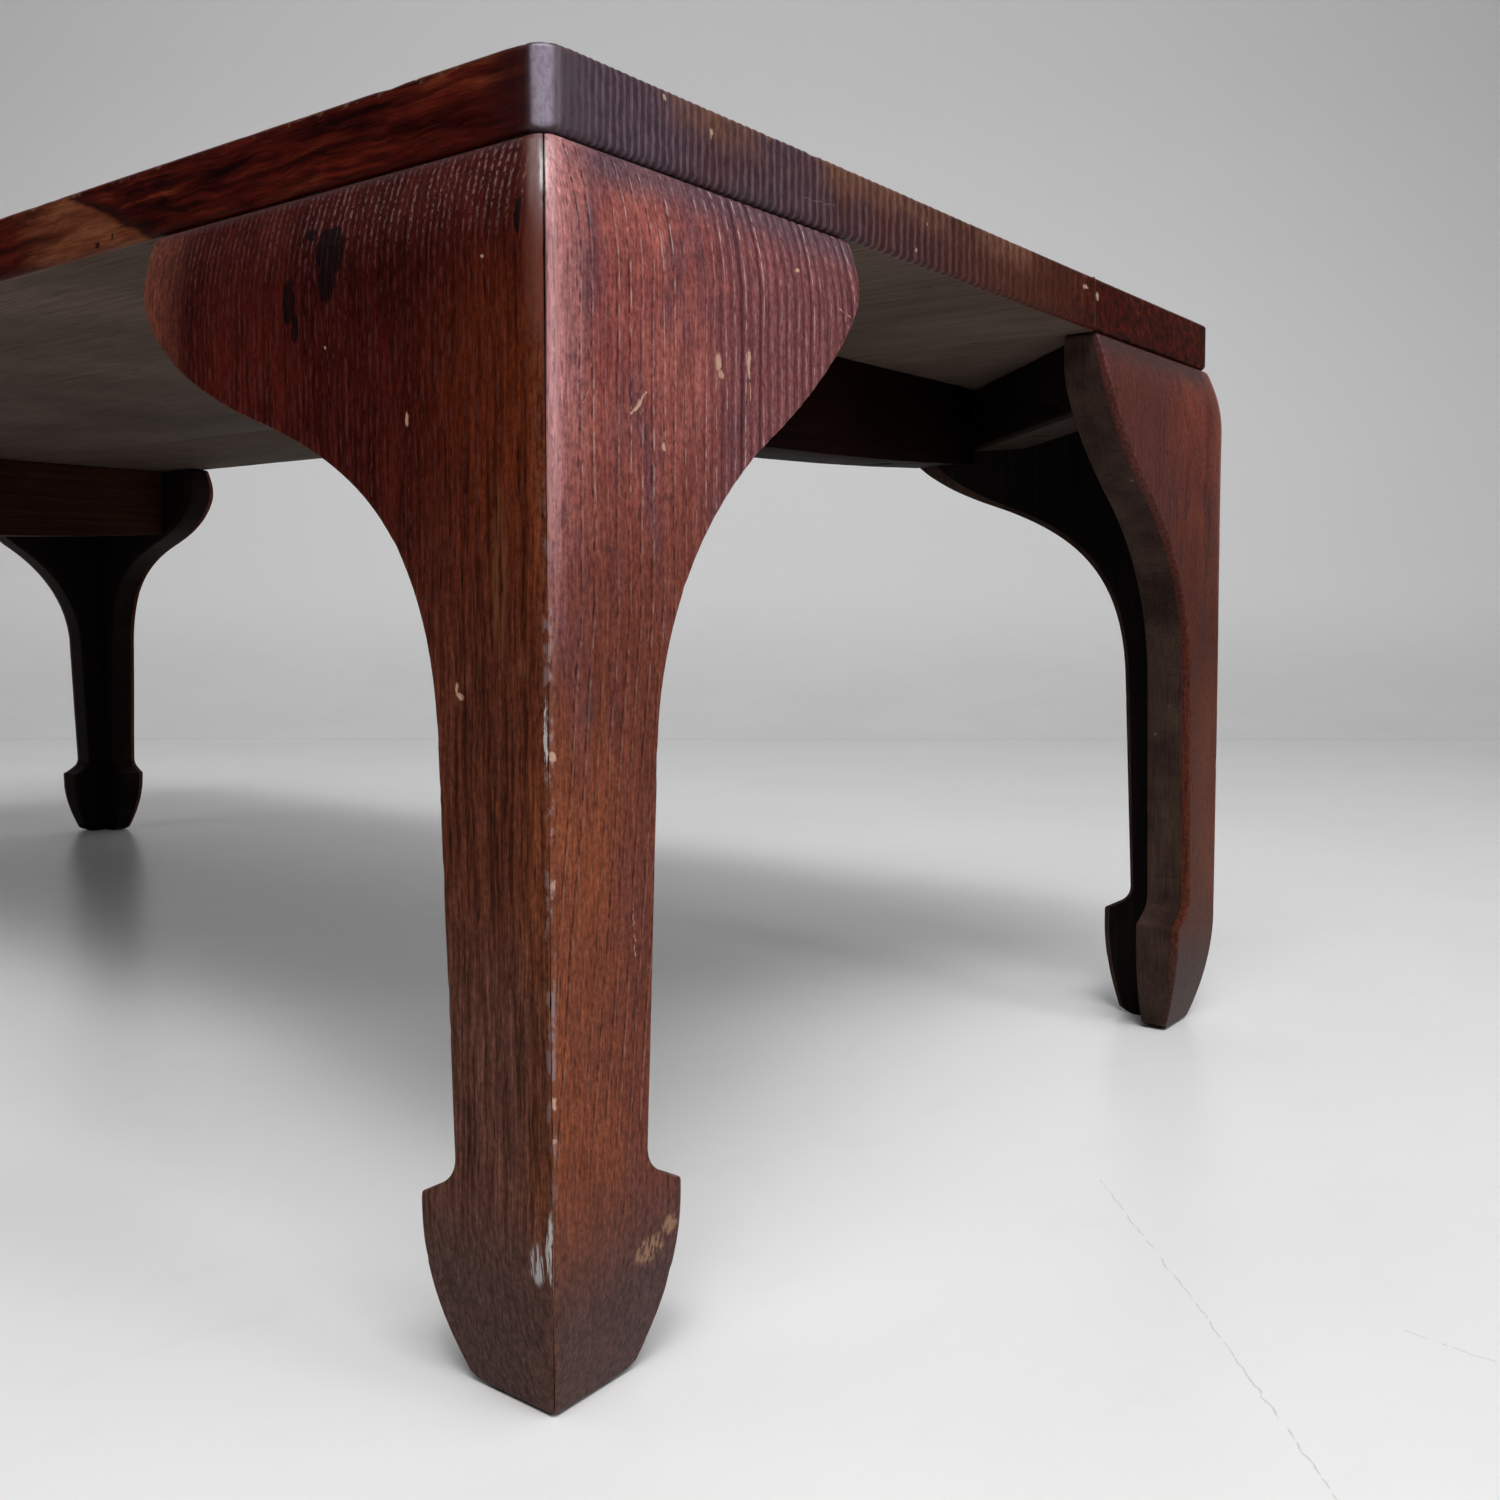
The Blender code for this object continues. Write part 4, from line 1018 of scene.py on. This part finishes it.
def board_working_tree():
    tree, group = start_tree("hand_worked_board", WORK_SIZES, ("Face Wood", "Sawn Wood", "Inner Wood"))
    board, seed = group["Geometry"], group["Seed"]

    def point_value(name):
        return board.node("GeometryNodeInputNamedAttribute", {"data_type": "FLOAT"}, {"Name": name})

    place = board.node("GeometryNodeInputPosition")
    normal = board.node("GeometryNodeInputNormal")
    drift = noise(place, 1 / group["Waver Size"], 2.0, 0.5, seed) - 0.5
    ring_drift = noise(stretch(place, 1, 1, 0.3), 30.0, 2.0, 0.5, seed + 3.0) - 0.5
    squash = board.node("ShaderNodeCombineXYZ", {}, {0: 1.0, 1: 1.0, 2: group["Ripple Squash"]})
    squashed = place.vectors("MULTIPLY", place, squash)
    ripple = (noise(squashed, 170.0, 2.0, 0.5, seed + 4.0) - 0.5) * group["Ring Ripple"]
    ring_phase = (point_value("ring_place") + ring_drift * group["Ring Waver"] + ripple) / group["Ring Pitch"]
    ridge = ease(board.maths("SINE", ring_phase * (2 * math.pi)), -1.0, 1.0, -1.0, 0.0)
    uneven = noise(place, 60.0, 2.0, 0.5, seed + 5.0) + 0.5
    knocks = ease(noise(place, 1 / group["Chip Size"], 3.0, 0.6, seed + 7.0), 0.56, 0.74)

    rise = point_value("worked") * drift * group["Waver"] * 2.0
    rise = rise + point_value("ridged") * ridge * uneven * group["Ridge"]
    rise = rise - point_value("arris") * knocks * group["Chip"]
    offset = normal.node("ShaderNodeVectorMath", {"operation": "SCALE"}, {0: normal, 3: rise})
    moved = board.node("GeometryNodeSetPosition", {}, {"Geometry": board, "Offset": offset})
    moved = moved.node("GeometryNodeStoreNamedAttribute", {"data_type": "FLOAT", "domain": "POINT"},
                       {"Geometry": moved, "Name": "ring_phase", "Value": ring_phase})
    moved = moved.node("GeometryNodeRealizeInstances", {}, {0: moved})
    surface = board.node("GeometryNodeInputNamedAttribute", {"data_type": "INT"}, {"Name": "surface"})
    for kind, name in ((OUTER, "Face Wood"), (SAWN, "Sawn Wood"), (INNER, "Inner Wood")):
        same = surface.node("FunctionNodeCompare", {"data_type": "INT", "operation": "EQUAL"},
                            {2: surface, 3: kind})
        moved = moved.node("GeometryNodeSetMaterial", {},
                           {"Geometry": moved, "Selection": same, "Material": group[name]})
    finished = tree.nodes.new("NodeGroupOutput")
    plug(finished.inputs[0], moved)
    return tree


work_tree = board_working_tree()
print("the tree has", len(work_tree.nodes), "nodes")

# %% Run a tree on a piece and keep the plain mesh
TREE_SHARP_ABOVE = 42


def keep_result(piece, modifier, sharp_angle):
    """Swap in the mesh that a modifier gives, without the modifier."""
    mesh = bpy.data.meshes.new_from_object(piece.evaluated_get(bpy.context.evaluated_depsgraph_get()))
    piece.modifiers.remove(modifier)
    old, piece.data = piece.data, mesh
    bpy.data.meshes.remove(old)
    mesh.shade_smooth()
    mesh.set_sharp_from_angle(angle=math.radians(sharp_angle))
    return mesh


def run_tree(piece, tree, **inputs):
    """Put the tree on a piece with these inputs, then swap in the mesh that it gives."""
    modifier = piece.modifiers.new(tree.name, "NODES")
    modifier.node_group = tree
    for item in tree.interface.items_tree:
        if item.in_out == "INPUT" and item.name.replace(" ", "_") in inputs:
            modifier[item.identifier] = inputs[item.name.replace(" ", "_")]
    return keep_result(piece, modifier, TREE_SHARP_ABOVE)


NEAR_RIDGE, FAR_RIDGE, TOP_RIDGE = 0.00018, 0.00003, {"top_board_wide": 0.00016, "top_board_narrow": 0.00005}
LEG_RING_PITCH = {"long": 0.00245, "end": 0.0042}
for number, ((corner_name, kind), board) in enumerate(leg_boards.items()):
    face_wood = end_board_wood if kind == "end" else long_board_wood
    mesh = run_tree(board, work_tree, Seed=float(number), Chip=0.0003,
                    Ridge=NEAR_RIDGE if (corner_name, kind) == ("front_right", "end") else FAR_RIDGE,
                    Ring_Pitch=LEG_RING_PITCH[kind],
                    Face_Wood=face_wood, Sawn_Wood=sawn_edge_wood, Inner_Wood=inside_leg_wood)
    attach(board, "root")
    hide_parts(f"{corner_name}_leg_{kind}_board")
print("leg boards worked:", len(mesh.polygons), "faces on the last")

for number, (node, board) in enumerate(top_boards.items()):
    mesh = run_tree(board, work_tree, Seed=20.0 + number, Ridge=TOP_RIDGE[node],
                    Ring_Pitch=TOP_RING_PITCH, Ring_Waver=0.002, Ring_Ripple=0.0022, Ripple_Squash=0.8,
                    Chip=0.0005, Chip_Size=0.006, Waver=0.0002,
                    Face_Wood=top_wood, Sawn_Wood=underside_wood, Inner_Wood=underside_wood)
    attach(board, "root")
    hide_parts(node)
print("top boards worked:", len(mesh.polygons), "faces on the last")

# %% [markdown]
# ## Battens and corner braces
#
# Two cross battens keep the top flat, and a short brace blocks each leg's inner corner. They are plain sawn
# pieces with holes for their screws, so the imported shapes are right. A copy is welded, its flat areas are
# merged, and a Bevel modifier eases the arrises that a plane would have taken off. The batten at the near end
# is painted almost black as painted shade and the far one brown, and the braces carry painted shade except
# on their lower faces.

# %% Ease a copy of a imported piece
EASED_ABOVE, SHARP_ABOVE = 50, 30
BATTEN_EASING, BRACE_EASING, UNSHADED_EDGE = 0.0009, 0.0008, 0.0012


def eased_copy(node, name, wood, width):
    """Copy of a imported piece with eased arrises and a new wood."""
    shell = bmesh.new()
    shell.from_mesh(frame["nodes"][node].data)
    bmesh.ops.remove_doubles(shell, verts=shell.verts[:], dist=1e-6)
    bmesh.ops.dissolve_limit(shell, angle_limit=0.01, verts=shell.verts[:], edges=shell.edges[:])
    mesh = bpy.data.meshes.new(name)
    shell.to_mesh(mesh)
    shell.free()
    mesh.materials.clear()
    mesh.materials.append(wood)
    piece = put(name, mesh)
    bevel = piece.modifiers.new("eased_arrises", "BEVEL")
    bevel.width, bevel.segments, bevel.limit_method = width, 2, "ANGLE"
    bevel.angle_limit = math.radians(EASED_ABOVE)
    keep_result(piece, bevel, SHARP_ABOVE)
    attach(piece, "root")
    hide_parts(node)
    return piece


batten_woods = {
    # the near batten is painted almost black as painted shade
    "right": inside_finish("dark_batten_wood", 1, (0.0025, 0.0006, 0.0004), (0.012, 0.0035, 0.0022), 51.0),
    "left": inside_finish("brown_batten_wood", 1, (0.014, 0.0042, 0.0024), (0.056, 0.019, 0.0115), 53.0),
}
# the braces carry painted shade everywhere but at their lower faces
brace_wood = inside_finish("brace_wood", 2, (0.024, 0.016, 0.012), (0.056, 0.039, 0.03), 56.0,
                           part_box("front_right_corner_brace")[0].z + UNSHADED_EDGE)
for end, wood in batten_woods.items():
    eased_copy(f"batten_{end}", f"cross_batten_{end}", wood, BATTEN_EASING)
for corner_name in CORNERS:
    eased_copy(f"{corner_name}_corner_brace", f"{corner_name}_brace", brace_wood, BRACE_EASING)
print("two battens and four braces are eased")

# %% [markdown]
# ## Screws and nails
#
# The fixings repeat, so Geometry Nodes makes one of each and sets a copy on every point of a small cloud. The
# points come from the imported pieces' boxes. A slotted head is a cone with a box cut out of it. Each screw is
# turned by a random angle, because nobody lines up slots under a table.

# %% Iron
def iron_finish():
    material, shader, place = start_finish("old_iron")
    rust = noise(place, 420, 4.0, 0.6, 61.0)
    grain = noise(place, 2600, 2.0, 0.5, 62.0)
    colour = tint((0.085, 0.078, 0.075), (0.115, 0.052, 0.028), ease(rust, 0.48, 0.66))
    shader.inputs["Metallic"].default_value = 0.75
    close_finish(shader, colour, ease(rust, 0.35, 0.7, 0.42, 0.72), grain * 0.00003 + rust * 0.00004)
    return material


old_iron = iron_finish()
print(old_iron.name)

# %% Tree for the screws and nails
FIXING_SIZES = {"Shank": 0.002, "Length": 0.034, "Head": 0.004, "Head Height": 0.0026, "Slot": 0.0009}
HEAD_PROUD = 0.0013


def fixing_tree(name, slotted):
    """Tree that sets a screw or a nail, point up, on every point, turned to the point's own direction."""
    tree, group = start_tree(name, FIXING_SIZES, ("Iron",))
    places = group["Geometry"]

    head = places.node("GeometryNodeMeshCone", {}, {"Vertices": 24, "Radius Top": group["Shank"],
                                                   "Radius Bottom": group["Head"], "Depth": group["Head Height"]})
    if slotted:
        slot_size = places.node("ShaderNodeCombineXYZ", {}, {0: group["Head"] * 3.0, 1: group["Slot"],
                                                             2: group["Head Height"]})
        cutter = places.node("GeometryNodeMeshCube", {}, {"Size": slot_size})
        drop = places.node("ShaderNodeCombineXYZ", {}, {2: group["Head Height"] * -0.55})
        cutter = cutter.node("GeometryNodeTransform", {}, {"Geometry": cutter, "Translation": drop})
        head = head.node("GeometryNodeMeshBoolean", {"operation": "DIFFERENCE"},
                         {"Mesh 1": head, "Mesh 2": cutter})
    shank = places.node("GeometryNodeMeshCylinder", {}, {"Vertices": 16, "Radius": group["Shank"],
                                                        "Depth": group["Length"]})
    lift = places.node("ShaderNodeCombineXYZ", {}, {2: group["Head Height"] * 0.9 + group["Length"] * 0.5})
    shank = shank.node("GeometryNodeTransform", {}, {"Geometry": shank, "Translation": lift})
    joined = head.node("GeometryNodeJoinGeometry", {}, {})
    for part in (head, shank):
        joined.tree.links.new(part.socket, joined.socket.node.inputs[0])
    aim = places.node("GeometryNodeInputNamedAttribute", {"data_type": "FLOAT_VECTOR"}, {"Name": "aim"})
    turn = places.node("FunctionNodeRandomValue", {"data_type": "FLOAT"}, {2: 0.0, 3: 6.28, "Seed": 4}, 1)
    spun = places.node("ShaderNodeCombineXYZ", {}, {2: turn})
    facing = places.node("FunctionNodeAlignRotationToVector", {"axis": "Z"}, {"Rotation": spun, "Vector": aim})
    copies = places.node("GeometryNodeInstanceOnPoints", {},
                         {"Points": places, "Instance": joined, "Rotation": facing})
    solid = copies.node("GeometryNodeRealizeInstances", {}, {0: copies})
    solid = solid.node("GeometryNodeSetMaterial", {}, {"Geometry": solid, "Material": group["Iron"]})
    finished = tree.nodes.new("NodeGroupOutput")
    plug(finished.inputs[0], solid)
    return tree


def fixings(name, nodes, tree, **sizes):
    """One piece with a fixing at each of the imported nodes' places."""
    starts, aims = [], []
    for node in nodes:
        low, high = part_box(node)
        middle, span = (low + high) / 2, high - low
        axis = max(range(3), key=lambda a: span[a])
        aim = Vector((0, 0, 0))
        aim[axis] = 1.0 if axis == 2 else math.copysign(1.0, middle[axis])
        starts.append(middle - aim * (span[axis] / 2 - HEAD_PROUD))
        aims.append(aim)
    cloud = bpy.data.meshes.new(name)
    cloud.from_pydata(starts, [], [])
    aim_values = cloud.attributes.new("aim", "FLOAT_VECTOR", "POINT").data
    aim_values.foreach_set("vector", np.ravel(aims).astype(np.float32))
    piece = put(name, cloud)
    run_tree(piece, tree, Iron=old_iron, **sizes)
    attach(piece, "root")
    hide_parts(*nodes)
    print(name, len(nodes), "fixings,", len(piece.data.polygons), "faces")
    return piece


screw_nodes = sorted(node for node in frame["nodes"] if "_screw" in node)
nail_nodes = sorted(node for node in frame["nodes"] if node.endswith("_nail"))
nail_length = max(max(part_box(node)[1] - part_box(node)[0]) for node in nail_nodes)
fixings("wood_screws", screw_nodes, fixing_tree("slotted_screws", True), Length=0.031)
fixings("cut_nails", nail_nodes, fixing_tree("plain_nails", False), Shank=0.0011, Head=0.0012, Head_Height=0.0026,
        Length=nail_length - 0.003)

# %% [markdown]
# ## Hidden joinery
#
# The dowels, the splines in the mitres and the tongue between the top boards never see the light. Their
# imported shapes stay, in pale unfinished wood with its own grain.

# %% Bare wood for the hidden pieces
bare_wood = inside_finish("bare_wood", 2, (0.36, 0.225, 0.12), (0.48, 0.315, 0.18), 71.0)
hidden = [o for node, o in frame["nodes"].items() if node.endswith(("_dowel", "_spline", "_tongue"))]
for piece in hidden:
    piece.data.materials.clear()
    piece.data.materials.append(bare_wood)
print(len(hidden), "hidden pieces in bare wood")

# %% [markdown]
# ## The studio
#
# The table stands on a pale floor that sweeps up into a wall behind it, so there is no hard corner. The sweep
# is one profile pushed sideways, square to the camera. The floor is smooth enough to mirror the legs softly,
# with faint scuffs and a few hairline cracks. The wall is matt, with painted light just above the floor and
# painted shade that darkens it with height, and a thin line shows where the floor's sheet ends.

# %% Floor and sweep
SWEEP_START, SWEEP_RADIUS, SWEEP_HALF, FLOOR_BEHIND = 2.05, 1.2, 6.5, 4.5
WALL_HEIGHT, SEAM_AT = 5.0, SWEEP_START + 0.05
FLOOR_CRACKS = (((543, 4, 0), (604, -66, 0), 0.35), ((604, -66, 0), (659, -133, 0), 0.4),
                ((652, -43, 0), (676, -46, 0), 0.35))


def sweep_heading():
    """The way that the camera looks along the floor, and the spot on the floor below it."""
    turn = photo_camera.rotation_euler.z
    heading = Vector((-math.sin(turn), math.cos(turn), 0))
    return heading, Vector((*photo_camera.location.xy, 0))


def studio_sweep():
    heading, start = sweep_heading()
    side = Vector((heading.y, -heading.x, 0))
    profile = [(-FLOOR_BEHIND, 0.0), (SWEEP_START * 0.5, 0.0), (SWEEP_START, 0.0)]
    for turn in np.radians(np.linspace(0, 90, 25))[1:]:
        profile.append((SWEEP_START + SWEEP_RADIUS * math.sin(turn), SWEEP_RADIUS * (1 - math.cos(turn))))
    profile.append((profile[-1][0], WALL_HEIGHT))
    points = [start + heading * away + side * wide + Vector((0, 0, up))
              for away, up in profile for wide in (-SWEEP_HALF, SWEEP_HALF)]
    faces = [(2 * i, 2 * i + 1, 2 * i + 3, 2 * i + 2) for i in range(len(profile) - 1)]
    mesh = bpy.data.meshes.new("studio_sweep")
    mesh.from_pydata(points, [], faces)
    mesh.shade_smooth()
    return put("studio_sweep", mesh)


def floor_finish():
    material, shader, place = start_finish("pale_floor")
    height = axes(place)[2]
    cloud = noise(place, 5.0, 3.0, 0.5, 81.0)
    scuff = noise(stretch(place, 1.0, 0.5, 1.0), 40.0, 4.0, 0.6, 82.0)
    grit = noise(place, 900.0, 2.0, 0.5, 84.0)
    heading, start = sweep_heading()
    ahead = place.vectors("DOT_PRODUCT", place, heading) - start.dot(heading)
    seam = ease(abs(ahead - SEAM_AT), 0.004, 0.014, 1.0, 0.0)
    crack = scratches(ragged(place, 0.006, 0.003), FLOOR_CRACKS)
    colour = paint(
        tint((0.812, 0.812, 0.812), (0.838, 0.838, 0.838), ease(cloud, 0.35, 0.65)),
        ((0.74, 0.74, 0.74), ease(scuff, 0.52, 0.78) * 0.3),
        # painted light low on the wall and painted shade higher up
        ((0.95, 0.95, 0.95), ease(height, 0.02, 0.25)),
        ((0.76, 0.76, 0.76), ease(height, 0.45, 1.55)),
        ((0.45, 0.45, 0.45), larger(crack * 0.55, seam * 0.12)),
    )
    gloss = ease(ahead, SWEEP_START - 0.1, SWEEP_START + 0.3, 0.3, 0.85)
    close_finish(shader, colour, gloss, grit * 0.00002, 0.4)
    return material


sweep_piece = studio_sweep()
sweep_piece.data.materials.append(floor_finish())
print("the sweep starts", SWEEP_START, "m from the camera")

# %% [markdown]
# ## Light
#
# Three soft lamps high behind the camera share the work of one big window and throw the shadow back and a
# little to the left. A tall strip and a square lamp off the right end make the sheen on the end boards. Weak
# lamps on the left and at the back lift the shadows, but the left stays dim, which is why the long boards look
# so deep. Round about, the far room glows a dull grey near the floor and is dark above.

# %% Lamps
def lamp(name, where, towards, size, power, tone=(1.0, 1.0, 1.0)):
    data = bpy.data.lights.new(name, "AREA")
    data.shape, data.size, data.size_y = "RECTANGLE", size[0], size[1]
    data.energy, data.color = power, tone
    holder = put(name, data)
    holder.location = where
    holder.rotation_euler = (Vector(towards) - Vector(where)).to_track_quat("-Z", "Y").to_euler()
    holder.visible_camera = False
    return holder


TABLE = (0.0, 0.05, 0.1)
lamp("key_lamp", (1.8, -2.11, 3.9), TABLE, (1.1, 1.1), 49.5)
lamp("window_lamp", (1.7, -0.98, 2.3), TABLE, (1.1, 0.6), 30.0)
lamp("front_lamp", (0.79, -1.4, 2.3), TABLE, (0.8, 0.9), 12.5)
lamp("right_strip_lamp", (2.13, 0.05, 0.8), TABLE, (0.28, 1.0), 6.2, (0.94, 0.95, 1.0))
lamp("right_high_lamp", (1.54, 0.05, 1.76), TABLE, (1.2, 1.2), 9.5)
lamp("left_lamp", (-0.77, -1.28, 1.76), TABLE, (1.2, 1.2), 5.0)
lamp("back_lamp", (-0.7, 1.0, 2.7), (-0.5, 0.8, 0.0), (2.0, 2.0), 2.5)
room = bpy.data.worlds.new("dim_room")
room.use_nodes = True
far_wall = Wire(room.node_tree.nodes.new("ShaderNodeTexCoord").outputs["Generated"])
glow = tint((0.16, 0.16, 0.16), (0.01, 0.01, 0.01), ease(axes(far_wall)[2], 0.05, 0.45))
plug(room.node_tree.nodes["Background"].inputs["Color"], glow)
bpy.context.scene.world = room
bpy.context.scene.view_settings.view_transform = "Standard"
print("seven lamps and a dim room")
